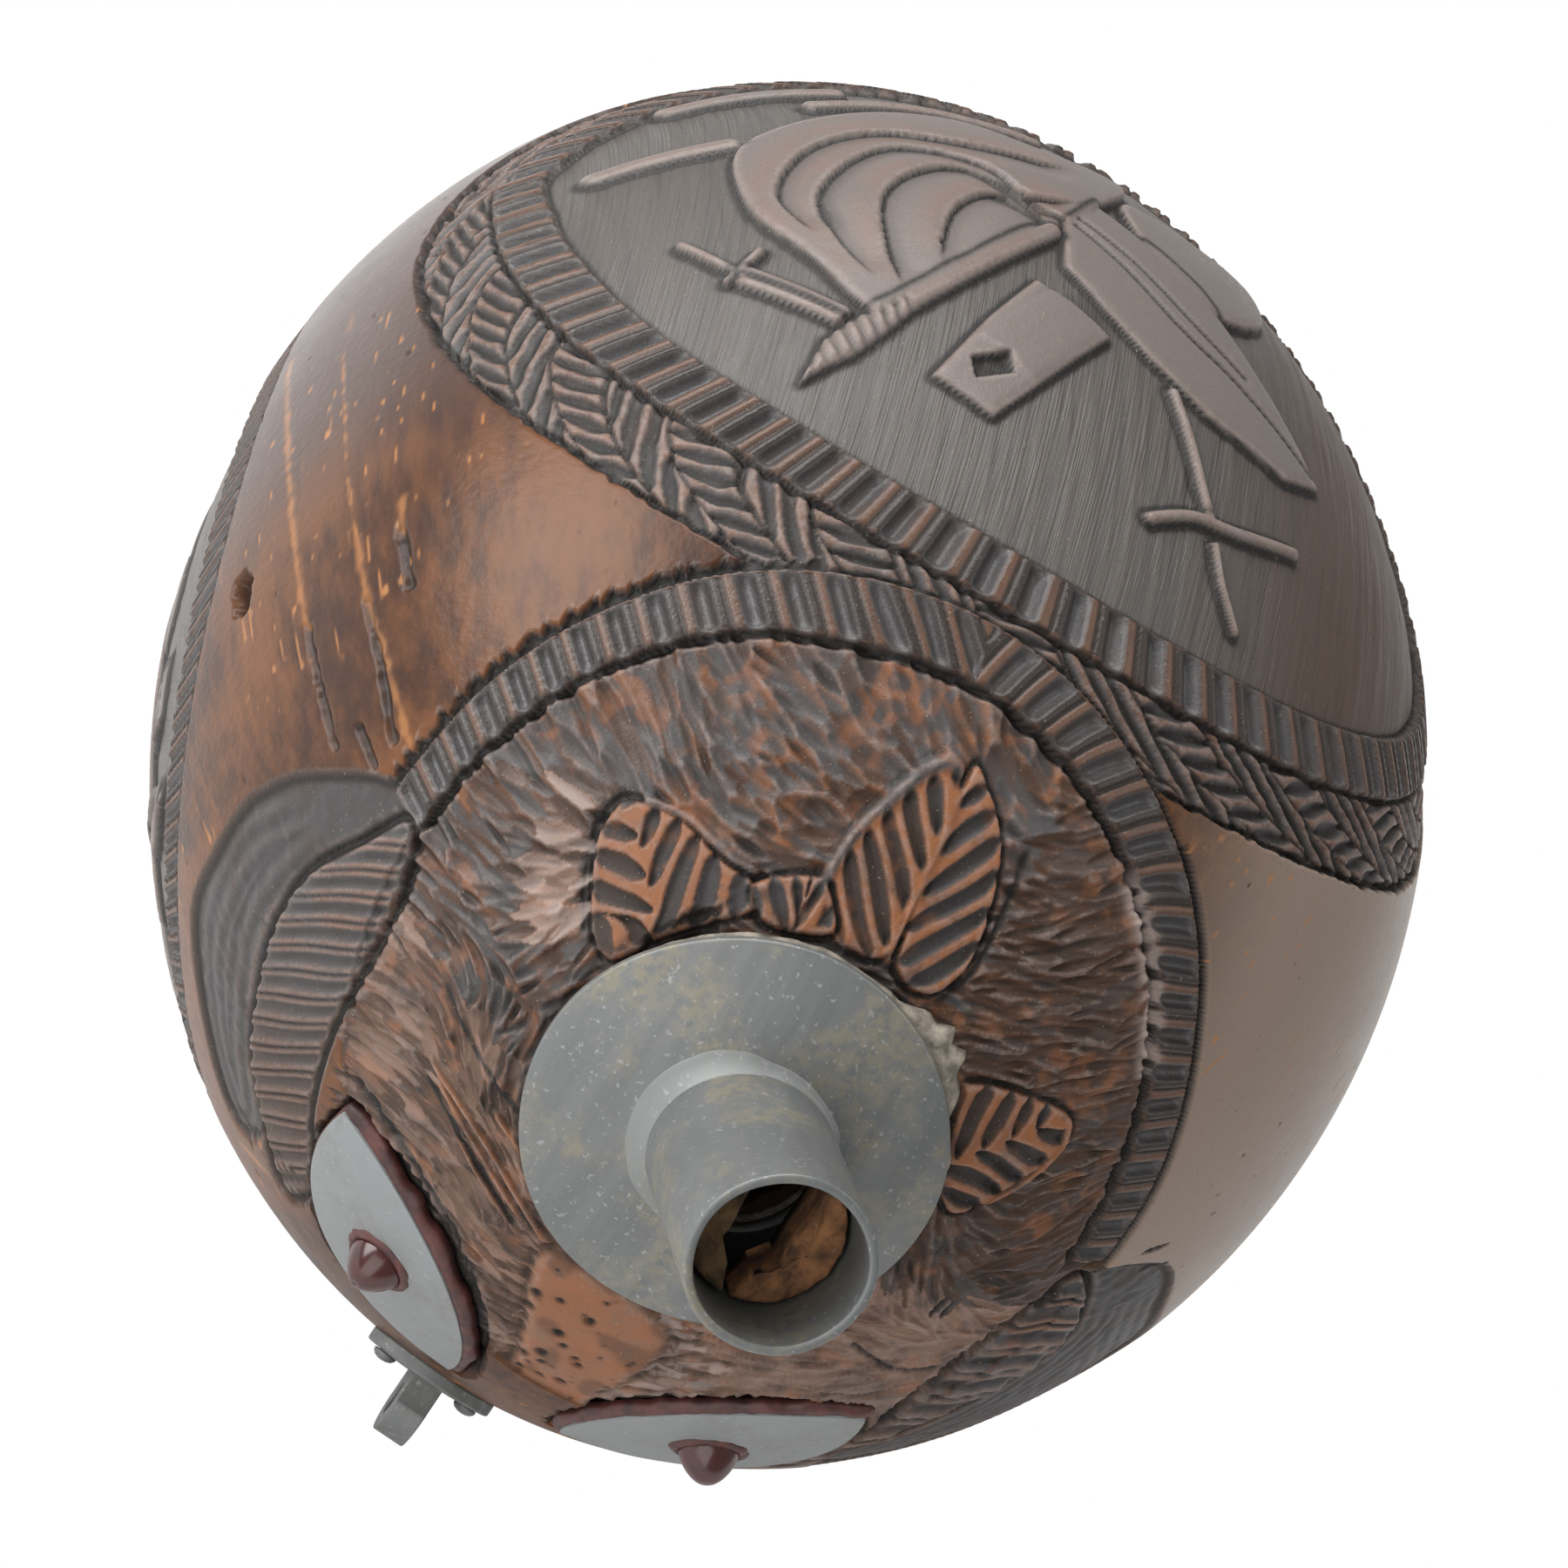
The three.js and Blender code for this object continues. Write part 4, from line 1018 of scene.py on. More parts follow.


# A ladder band: smooth sunk hollows between pairs of ridges parted by a thin line, with a painted shadow at the
# start of each hollow
def carveLadder(away, run, half, phase, where, sunk=1.0):
    global rung, rungAcross
    phase = phase + 0.16 * (noise(np.column_stack([run, away * 0.2]), (4.1, 4.0), 11) - 0.5)
    share = fraction(phase)
    low, high = rungs["hollow"]
    u = (share - (low + high) / 2) / ((high - low) / 2)
    v = away / (half - 0.12)
    hollow = np.clip(1 - u**2, 0, 1) * np.clip(1 - v**8, 0, 1)
    inBars = smooth(half - 0.02, half - 0.2, np.abs(away + 0.1 * jag))
    line = bump(rungs["line"], 0.045, share) * inBars
    crowns = smooth(0.0, 0.1, share - high) * smooth(0.0, 0.1, 1 - share) * inBars
    band = smooth(half + 0.12, half - 0.05, np.abs(away)) * where
    cells = np.column_stack([np.floor(phase) * 3.7 + 0.5, np.floor(share * 3.6) + 0.5])
    tone = 0.25 + 0.5 * noise(cells, 1.0, 13)
    lay(
        band,
        -0.06 - rungs["sunk"] * sunk * hollow - rungs["lineDepth"] * line - 0.1 * (1 - inBars),
        # Painted shadow at the start of each hollow; the dark line between the ridges is a cut
        0.8 * bump(0.03, 0.07, share) * inBars + 0.9 * line,
        crowns * (1 - line) * (0.35 + 0.75 * tone),
        np.where(hollow > 0.05, 0.05, 0.45),
    )
    rung = np.where(band > 0.01, phase, rung)
    across = np.minimum(np.abs(away) / half + (1 - where) * 3, rungAcross)
    rungAcross = np.where(np.abs(away) < half + 0.6, across, rungAcross)


# Black V-shaped line along a band, ragged or smooth
def cutLine(distance, width, depth, where, ragged=0.0):
    global height, grimeAndShadow, wear
    cut = np.clip(1 - np.abs(distance + ragged * (0.6 * wobble + 0.25 * jag)) / width, 0, 1) * where
    height = height - depth * cut
    grimeAndShadow = np.maximum(grimeAndShadow, smooth(0.0, 0.5, cut))
    wear = wear * (1 - smooth(0, 0.4, cut))


def carveLeafBand(away, run, outer, half):
    width = np.maximum(outer - half, 1.0)
    across = np.clip((away - half) / width, -0.2, 1.2)
    where = smooth(half - 0.05, half + 0.1, away) * smooth(outer + 0.1, outer - 0.15, away + 0.5 * jag)
    q = (run - leafBand["lead"] * (0.35 * across + 0.65 * across**2) + 0.5 * wobble) / leafBand["period"]
    share = fraction(q)
    v = np.abs(share - 0.5) * 2
    fills = []
    for angle, pitch in (leafBand["upper"], leafBand["lower"]):
        s, c = math.sin(math.radians(abs(angle))), math.cos(math.radians(angle))
        phase = (run * s - math.copysign(1, angle) * (away - half) * c) / pitch + 0.25 * wobble
        part = fraction(phase)
        halfLens = 0.44 * np.sqrt(np.clip(np.sin(math.pi * v), 0.02, 1))
        fills.append((np.clip(1 - ((part - 0.5) / halfLens) ** 2, 0, 1), np.floor(phase)))
    upper = share < 0.5
    lens = np.where(upper, fills[0][0], fills[1][0])
    cell = np.where(upper, fills[0][1], fills[1][1] + 40)
    spine, edge = bump(0.5, 0.022, share), bump(0.0, 0.03, share) + bump(1.0, 0.03, share)
    tone = noise(np.column_stack([cell, np.floor(q)]) + 0.5, 1.0, 14)
    lay(
        where,
        -leafBand["depth"] + 0.1 - 0.5 * lens - 0.25 * spine - 0.35 * edge,
        0.35 * lens + 0.8 * spine + 0.9 * edge,
        smooth(0.25, 0.0, lens) * 0.55 * tone**1.6 * (1 - spine) * (1 - edge),
        np.where(lens > 0.1, 0.05 + 0.15 * tone, 0.35),
    )


def carveTop(mask, u, v):
    global fieldMask
    scrape = noise(np.column_stack([u + 0.12 * v, v]), (0.34, 9.0), 5) - 0.5
    scrape += 0.6 * (noise(np.column_stack([u + 0.12 * v, v]), (0.9, 16.0), 6) - 0.5)
    drawn, drawnGrimeAndShadow, drawnWear, _ = top.sample(u, v)
    onMotif = smooth(0.15, 0.45, drawn)
    depth = -panelTop["depth"] + 0.13 * scrape * (1 - onMotif) + drawn
    flank = smooth(0.02, 0.25, drawn) * smooth(0.62, 0.3, drawn)
    dirtAndShadow = drawnGrimeAndShadow + 0.55 * flank + 0.15 * (1 - onMotif) * smooth(0.1, -0.4, scrape)
    lay(mask, np.minimum(depth, 0.0), dirtAndShadow, drawnWear * 0.6)
    fieldMask = np.maximum(fieldMask, mask * (1 - 0.5 * onMotif))


away0, run0, uTop, vTop = ringField(panelTop["azimuth"], panelTop["centre"], panelTop["radii"])
awayTop = away0 - follow(topRing["shift"], run0)
halfTop = follow(topRing["half"], run0)
outerTop = follow(topRing["outer"], run0) - follow(topRing["shift"], run0)
carveLeafBand(awayTop, run0, outerTop, halfTop)
carveTop(smooth(-halfTop + 0.1, -halfTop - 0.15, awayTop + 0.1 * wobble), uTop, vTop)
carveLadder(awayTop, run0, halfTop, phaseAlong(topRing["period"], run0), 1.0)
cutLine(awayTop - halfTop - 0.12, 0.4, 0.5, 1.0, 0.25)
cutLine(awayTop + halfTop + 0.05, 0.3, 0.35, 1.0, 0.2)
cutLine(awayTop - outerTop + 0.25, 0.45, 0.45, 1.0, 0.9)
print("stage: top bands carved")

# Side panels: leaf sprays round a flower, inside a band of slanted rungs
side = Board(-36, 36, -40, 46)
spray = {"leaves": 6, "radius": 18.0, "petals": 6, "petalLength": 9.5}


def leafOutline(root, tip, width, steps=8):
    root, tip = np.array(root, float), np.array(tip, float)
    step = tip - root
    across = np.array([-step[1], step[0]]) / np.hypot(*step)
    t = np.linspace(0, 1, steps, endpoint=False)
    half = width / 2 * np.sin(np.pi * t**0.85)
    there = root + t[:, None] * step + half[:, None] * across
    back = (root + (1 - t)[:, None] * step - (width / 2 * np.sin(np.pi * (1 - t) ** 0.85))[:, None] * across)
    return np.vstack([there, back])


def carveSpray(board, spray):
    for flank in (-1, 1):
        for i in range(spray["leaves"]):
            turn = math.radians(-64 + 118 * i / (spray["leaves"] - 1))
            root = np.array([flank * spray["radius"] * math.cos(turn), spray["radius"] * math.sin(turn) * 1.2])
            lead = turn + math.radians(58)
            tip = root + [flank * 9 * math.cos(lead), 10 * math.sin(lead)]
            raiseIsland(board, leafOutline(root, tip, 4.6))
            groove(board, [root, tip], 0.3, 0.4)
        turn = np.linspace(-1.4, 0.95, 12)
        stem = spray["radius"] * np.column_stack([flank * np.cos(turn), np.sin(turn) * 1.2])
        raiseBar(board, stem, 0.7, 0.6)
    for i in range(spray["petals"]):
        turn = 2 * math.pi * i / spray["petals"]
        tip = np.array([spray["petalLength"] * math.sin(turn), 4 + spray["petalLength"] * math.cos(turn)])
        root = np.array([0, 4]) * 0.84 + tip * 0.16
        raiseIsland(board, leafOutline(root, tip, 5.4))
        groove(board, [root, tip], 0.3, 0.4)
    raiseBar(board, [(0, -13), (0, -30)], 1.1, 0.7)


def carveSide(flank, board):
    global fieldMask
    away, run, u, v = ringField(flank * panelSide["azimuth"], panelSide["centre"], panelSide["radii"])
    away = away - follow(panelSide["shift"], v)
    mask = smooth(-2.4, -2.7, away)
    scrape = noise(np.column_stack([u, v + 0.2 * u]), (0.35, 9.0), 8) - 0.5
    drawn, drawnGrimeAndShadow, drawnWear, _ = board.sample(u, v)
    onMotif = smooth(0.15, 0.45, drawn)
    depth = -panelSide["depth"] + 0.07 * scrape + drawn
    lay(mask, np.minimum(depth, 0.0), drawnGrimeAndShadow + 0.1, drawnWear * 0.6)
    fieldMask = np.maximum(fieldMask, mask * (1 - onMotif * 0.5))
    carveLadder(away, run, 2.45, (run + 0.45 * flank * away) / panelSide["period"], 1.0, 0.8)
    cutLine(np.abs(away) - 2.5, 0.3, 0.35, 1.0, 0.3)


carveSpray(side, spray)
carveSide(1, side)
carveSide(-1, side)
print("stage: side panels carved")

# Face, then its ladder arch with a ragged bitten edge outside it
away1, run1, _, _ = ringField(0, face["centre"], (face["radius"],) * 2, fromFront=True)
run1 = np.where(run1 < 60, run1 + 214.9, run1)
inFront = (py < 0).astype(float)
awayMask = away1 - follow(maskRing["shift"], run1)
halfMask = follow(maskRing["half"], run1)
archStart, archEnd = maskRing["ends"]
arch = smooth(archStart - 0.5, archStart + 0.5, run1) * smooth(archEnd + 0.5, archEnd - 0.5, run1) * inFront


def carveFace():
    global pale
    drawn, drawnGrimeAndShadow, drawnWear, drawnShade = front.sample(px, pz)
    inner = np.where(arch > 0.5, awayMask + halfMask, away1 + 2.4)
    disc = smooth(0.1, -0.1, inner) * inFront
    patches = smooth(0.52, 0.68, noise(surface, (3.0, 3.0, 1.8), 16)) * smooth(0.35, 0.6, noise(surface, 0.9, 17))
    stains = smooth(0.54, 0.7, noise(surface, 2.2, 18)) * smooth(26, 8, pz)
    depth = np.minimum(-face["depth"] * 0.4 + drawn + 0.06 * wobble, 0.2)
    dirtAndShadow = drawnGrimeAndShadow * np.where((pz < 6) & (px > -4), 0.5, 1) + 0.4 * stains
    lay(disc, depth, dirtAndShadow, drawnWear + 0.5 * patches, drawnShade)
    outside = (1 - disc) * inFront * (np.abs(drawn) > 0.02) * (pz < 15.5) * (1 - arch) * (np.abs(px) > 18)
    lay((outside > 0).astype(float), drawn, drawnGrimeAndShadow, drawnWear, drawnShade)
    # The palest strokes go to the pale mask; inside the pale outline they are a painted sheen
    pale = np.maximum(pale, disc * smooth(0.8, 1.2, drawnShade) * 0.6)
    ring = awayMask - halfMask
    teeth = run1 / 1.7 + 1.1 * wobble + 0.3 * jag
    teeth = 1 - np.abs(fraction(teeth) * 2 - 1)
    reach = np.where(run1 < 140, 0.75, np.where(run1 < 176, 0.35, 0.45 + 0.8 * teeth + 0.4 * jag))
    cut = smooth(-0.05, 0.1, ring) * smooth(reach + 0.12, reach - 0.12, ring) * arch
    lay(cut, -0.75 + 0.25 * jag, 0.85 + 0.4 * jag, 0.0, 0.0)
    rim = smooth(reach + 0.05, reach + 0.15, ring) * smooth(reach + 0.5, reach + 0.2, ring) * arch * (run1 > 176)
    pale = np.maximum(pale, rim * smooth(0.45, 0.8, teeth) * 0.3)
    phase = phaseAlong(maskRing["period"], run1)
    period = follow(maskRing["period"], run1)
    slanted = phase + follow(maskRing["slant"], run1) * awayMask / period
    carveLadder(awayMask, run1, halfMask, slanted, arch, 0.85)
    cutLine(awayMask + halfMask + 0.15, 0.5, 0.7, arch, 0.2)
    crust = smooth(123, 126, run1) * smooth(143, 140, run1) * bump(-0.5, 0.75, awayMask + halfMask) * arch
    pale = np.maximum(pale, crust * smooth(0.3, 0.5, noise(surface, 0.6, 15)) * 0.9)


carveFace()
print("stage: face carved")


# Sockets of the eyes and the seat under the flange
def nearFlange():
    local = seenFrom(spoutFrame, surface)
    return np.hypot(local[:, 0], local[:, 1]) + 50 * (local[:, 2] < -20)


# The sockets are wider on the eyes' inner sides. The flange's seat is a plain round
sockets = {"depth": 1.2, "margin": 0.5, "innerMargin": 1.3, "edge": 0.4}
seat = {"edge": (15.4, 14.6), "depth": 0.5, "rim": 15.9}


def carveSockets():
    global height, grimeAndShadow, wear
    for eye in eyes.values():
        local = seenFrom(eyeFrame(eye), surface)
        gap = np.abs(local[:, 1]) - almondHalf(eye, local[:, 0])
        gap = np.where(np.abs(local[:, 2]) < 12, np.maximum(gap, np.abs(local[:, 0]) - eye["length"] / 2), 99)
        inner = smooth(-1, 1, local[:, 1] * eye["side"])
        reach = sockets["margin"] + sockets["innerMargin"] * inner + 0.7 * jag
        socket = smooth(reach + sockets["edge"], reach, gap)
        height = height * (1 - socket) - sockets["depth"] * socket
        grimeAndShadow = np.maximum(grimeAndShadow, smooth(reach + 0.9, reach + 0.1, gap))
        wear = wear * smooth(reach, reach + 0.8, gap)
    fromSpout = nearFlange()
    under = smooth(*seat["edge"], fromSpout)
    height = height * (1 - under) - seat["depth"] * under
    grimeAndShadow = np.maximum(grimeAndShadow, 0.9 * bump(seat["rim"], 0.45, fromSpout + 0.8 * jag))


carveSockets()
height += 0.03 * wobble * carved + 0.012 * (noise(surface, 0.5, 9) - 0.5)

# Plain polished lobes: pale fibres, slits, a pit and pores
lobes = {
    "fibres": [
        ([
            (-51.3, 5.5, 8.6), (-50.8, -4.7, 11.2), (-49.3, -13.8, 12.2), (-47.4, -21.3, 12.3),
            (-45.0, -27.8, 12.0),
        ], 0.32),
        ([(-49.5, -0.9, 16.9), (-48.4, -9.5, 18.1), (-46.4, -18.3, 18.2), (-44.7, -23.5, 18.2)], 0.14),
        ([
            (-44.7, -23.5, 18.2), (-42.6, -28.9, 17.7), (-40.4, -33.1, 17.7), (-38.3, -36.8, 17.2),
            (-35.1, -41.8, 15.9),
        ], 0.3),
        ([(-43.3, -22.0, 22.5), (-42.7, -24.4, 21.9)], 0.4),
    ],
    "slits": [
        ([(-45.0, -27.8, 12.0), (-42.2, -33.7, 11.4), (-40.0, -37.5, 10.8)], 0.32),
        ([(-42.6, -28.9, 17.7), (-40.2, -33.9, 17.1), (-37.2, -39.4, 15.5)], 0.3),
        ([(-42.7, -24.4, 21.9), (-41.6, -27.1, 21.7), (-40.7, -29.4, 21.3)], 0.35),
        ([(-39.4, -37.3, 13.4), (-37.4, -40.2, 13.2)], 0.28),
    ],
    "pit": ((-48.9, -19.9, 5.6), 1.3),
    "fibreSize": (0.4, 7.0),
    "poreSize": (0.42, 1.0),
}
streak = np.zeros(len(surface))
plain = 1 - np.clip(carved * 1.6, 0, 1)


def nearLine(points):
    best = np.full(len(surface), 99.0)
    for a, b in zip(np.array(points[:-1]), np.array(points[1:])):
        share = np.clip((surface - a) @ (b - a) / ((b - a) @ (b - a)), 0, 1)
        best = np.minimum(best, np.linalg.norm(surface - a - share[:, None] * (b - a), axis=1))
    return best


def markLobes():
    global height, grimeAndShadow, streak
    girthRun = azimuthGrid.ravel() * nut["radius"]
    fibre = noise(np.column_stack([girthRun, py]), lobes["fibreSize"], 21)
    streak = plain * smooth(0.90, 0.97, fibre) * smooth(0.4, 0.6, noise(surface, 7.0, 22))
    dots = plain * smooth(0.88, 0.95, noise(np.column_stack([girthRun, py]), (0.5, 1.6), 23))
    streak = np.maximum(streak, dots * smooth(0.35, 0.55, noise(surface, 9.0, 25)))
    for points, half in lobes["fibres"]:
        streak = np.maximum(streak, 0.7 * plain * bump(0.0, half, nearLine(points) + 0.5 * jag))
    pores = plain * smooth(0.93, 0.98, noise(np.column_stack([girthRun, py]), lobes["poreSize"], 24))
    for points, half in lobes["slits"]:
        slit = plain * bump(0.0, half, nearLine(points) + 0.4 * jag)
        height -= 0.35 * slit
        pores = np.maximum(pores, slit)
    at, half = lobes["pit"]
    pit = plain * smooth(half + 0.2, half - 0.4, np.linalg.norm((surface - at) * (1, 0.6, 1), axis=1) + 0.8 * jag)
    height -= 1.6 * pit
    pores = np.maximum(pores, pit)
    height -= 0.10 * pores + 0.04 * streak
    grimeAndShadow = np.maximum(grimeAndShadow, pores * 0.8)


markLobes()


# Box blur over the shell grid, closed round the nut
def blurred(values, rows, columns):
    sheet = values.reshape(azimuthGrid.shape)
    sheet = np.concatenate([sheet[:, -columns:], sheet, sheet[:, :columns]], 1)
    sums = np.cumsum(np.pad(sheet, ((0, 0), (1, 0))), 1)
    sheet = (sums[:, 2 * columns + 1 :] - sums[:, : -2 * columns - 1]) / (2 * columns + 1)
    sheet = np.pad(sheet, ((rows + 1, rows), (0, 0)), mode="edge")
    sums = np.cumsum(sheet, 0)
    return ((sums[2 * rows + 1 :] - sums[: -2 * rows - 1]) / (2 * rows + 1)).ravel()


# Crest and hollow of the relief: hollows get painted shade; crests get wear and a pale painted highlight
crest = height - blurred(height, 3, 3)
crestWearAndHighlight = smooth(0.03, 0.16, crest) * carved
paintedHollowShade = smooth(0.03, 0.2, -crest) * carved * np.where(rungAcross < 0.95, 0.15, 1)
wear = np.clip(wear * 0.9 + 0.12 * crestWearAndHighlight * (1 - fieldMask * 0.8), 0, 1)
grimeAndShadow = np.clip(grimeAndShadow * (1 - 0.35 * crestWearAndHighlight) + 0.65 * paintedHollowShade, 0, 1)
print("stage: lobes marked")


mouth = {
    "width": 9.4,
    "height": 8.6,
    "steps": 90,
    "levels": (0.3, -6.2, 12),
    "sunk": 0.42,
    "jags": (1, 0.92, 1.04, 0.94, 1.05, 0.91, 1, 0.95, 1.05, 0.92),
}


innerWall = {"rows": 60, "columns": 96, "reach": 1.55, "hole": 3.4}


def mouthEdge(angle):
    jags = np.array(mouth["jags"] + (mouth["jags"][0],))
    share = np.interp(angle % (2 * math.pi), np.linspace(0, 2 * math.pi, len(jags)), jags)
    return share * mouth["width"] / 2 * np.cos(angle), share * mouth["height"] / 2 * np.sin(angle)


def buildShell():
    outer = surface + normals * height[:, None]
    outer[:, 2] = np.maximum(outer[:, 2], -axisHeight)
    rows, columns = azimuthGrid.shape
    points = np.vstack([outer, nutPoint(0.0, -math.pi / 2)[None], nutPoint(0.0, math.pi / 2)[None]])
    faces = gridFaces(rows, columns, closed=True)
    pole = len(outer)
    here = np.arange(columns)
    after = (here + 1) % columns
    first, last = np.full(columns, pole), (rows - 1) * columns
    caps = [np.stack([first, after, here], -1), np.stack([first + 1, last + here, last + after], -1)]
    local = seenFrom(tubeFrame, points)
    angle = np.arctan2(local[:, 1] / mouth["height"], local[:, 0] / mouth["width"])
    ex, ey = mouthEdge(angle)
    hole = (np.hypot(local[:, 0], local[:, 1]) < np.hypot(ex, ey)) & (np.abs(local[:, 2]) < 8)
    faces = faces[~hole[faces].any(1)]
    caps = [c[~hole[c].any(1)] for c in caps]
    # Inner wall and the broken tunnel through the shell
    innerRows, innerColumns = innerWall["rows"], innerWall["columns"]
    a, b = np.meshgrid(circle(innerColumns), np.linspace(-innerWall["reach"], innerWall["reach"], innerRows))
    inner = nutPoint(a, b, -nut["wall"]).reshape(-1, 3)
    innerLocal = seenFrom(tubeFrame, inner)
    innerHole = (np.hypot(innerLocal[:, 0], innerLocal[:, 1]) < innerWall["hole"]) & (np.abs(innerLocal[:, 2]) < 12)
    innerFaces = gridFaces(innerRows, innerColumns, closed=True, flip=True)
    innerFaces = innerFaces[~innerHole[innerFaces].any(1)] + len(points)
    points = np.vstack([points, inner])
    steps, levels = mouth["steps"], np.linspace(*mouth["levels"])
    turn = circle(steps)
    ex, ey = mouthEdge(turn)
    tunnel = []
    for i, level in enumerate(levels):
        lumps = noise(np.column_stack([np.cos(turn) * 4, np.sin(turn) * 4, turn * 0 + level]), 1.1, 31) - 0.5
        rough = 1.06 - 0.10 * min(i, 4) / 4 + 0.07 * lumps * (i > 0)
        tunnel.append(np.stack([ex * rough, ey * rough, np.full(steps, level)], -1))
    tunnel = placed(tubeFrame, np.array(tunnel).reshape(-1, 3))
    onNut = dropOnNut(tunnel[:steps] + 2 * tubeFrame[:3, 2], -tubeFrame[:3, 2])
    tunnel[:steps] = onNut - mouth["sunk"] * spoutFrame[:3, 2]
    tunnelFaces = gridFaces(len(levels), steps, closed=True, start=len(points))
    allFaces = np.vstack([faces, innerFaces, tunnelFaces]).tolist() + np.vstack(caps).tolist()
    return np.vstack([points, tunnel]), allFaces


points, faces = buildShell()
shell = makeObject("carved_nut_shell", points, faces)
print("stage: shell mesh", len(points))


def storeMask(made, name, values, rest=0.0):
    layer = made.data.attributes.new(name, "FLOAT", "POINT")
    filled = np.full(len(made.data.vertices), rest, np.float32)
    filled[: len(values)] = values
    layer.data.foreach_set("value", filled)


masks = {
    "grimeAndShadow": (grimeAndShadow, 0.6),
    "wear": (wear, 0),
    "carved": (carved, 1),
    "field": (fieldMask, 0),
    "streak": (streak, 0),
    # pale: painted sheen patches on the face, pale crust and rims on the arch
    "pale": (pale, 0),
    "shade": (shade / 1.3, 0.4),
    # edge: crests, taking a pale painted highlight over burnished wear
    "edge": (crestWearAndHighlight, 0),
}
for name, (values, rest) in masks.items():
    storeMask(shell, name, np.clip(values, 0, 1), rest)
storeMask(shell, "rung", rung)
storeMask(shell, "rungAcross", rungAcross, 3.0)
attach(shell, "root")
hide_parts("coconut_shell")

shellLook = {
    "hollow": colour(0.064, 0.060, 0.060),
    "brown": colour(0.062, 0.034, 0.022),
    "warm": colour(0.250, 0.098, 0.042),
    "rosy": colour(0.185, 0.112, 0.082),
    "lobeUpper": colour(0.066, 0.042, 0.035),
    "lobeDark": colour(0.036, 0.013, 0.006),
    "lobeBright": colour(0.122, 0.045, 0.014),
    # Painted sheen on the lobes' right side
    "lobeSheen": colour(0.235, 0.180, 0.145),
    # Motif tone, lightened partly as a painted sheen
    "motif": colour(0.140, 0.118, 0.108),
    "field": colour(0.078, 0.069, 0.062),
    "fieldDark": colour(0.045, 0.036, 0.031),
    # Grime colour: dirt in grooves and joints, also used for painted shadow and shade and for dark specks
    "grimeAndShadow": colour(0.014, 0.012, 0.011),
    "streak": colour(0.36, 0.155, 0.052),
    # Pale: painted sheen on the face, and pale crust on the arch
    "pale": colour(0.36, 0.29, 0.26),
    # Pale grey of the crests: a painted highlight over burnished wear
    "edge": colour(0.27, 0.235, 0.22),
    "dust": colour(0.36, 0.32, 0.22),
}


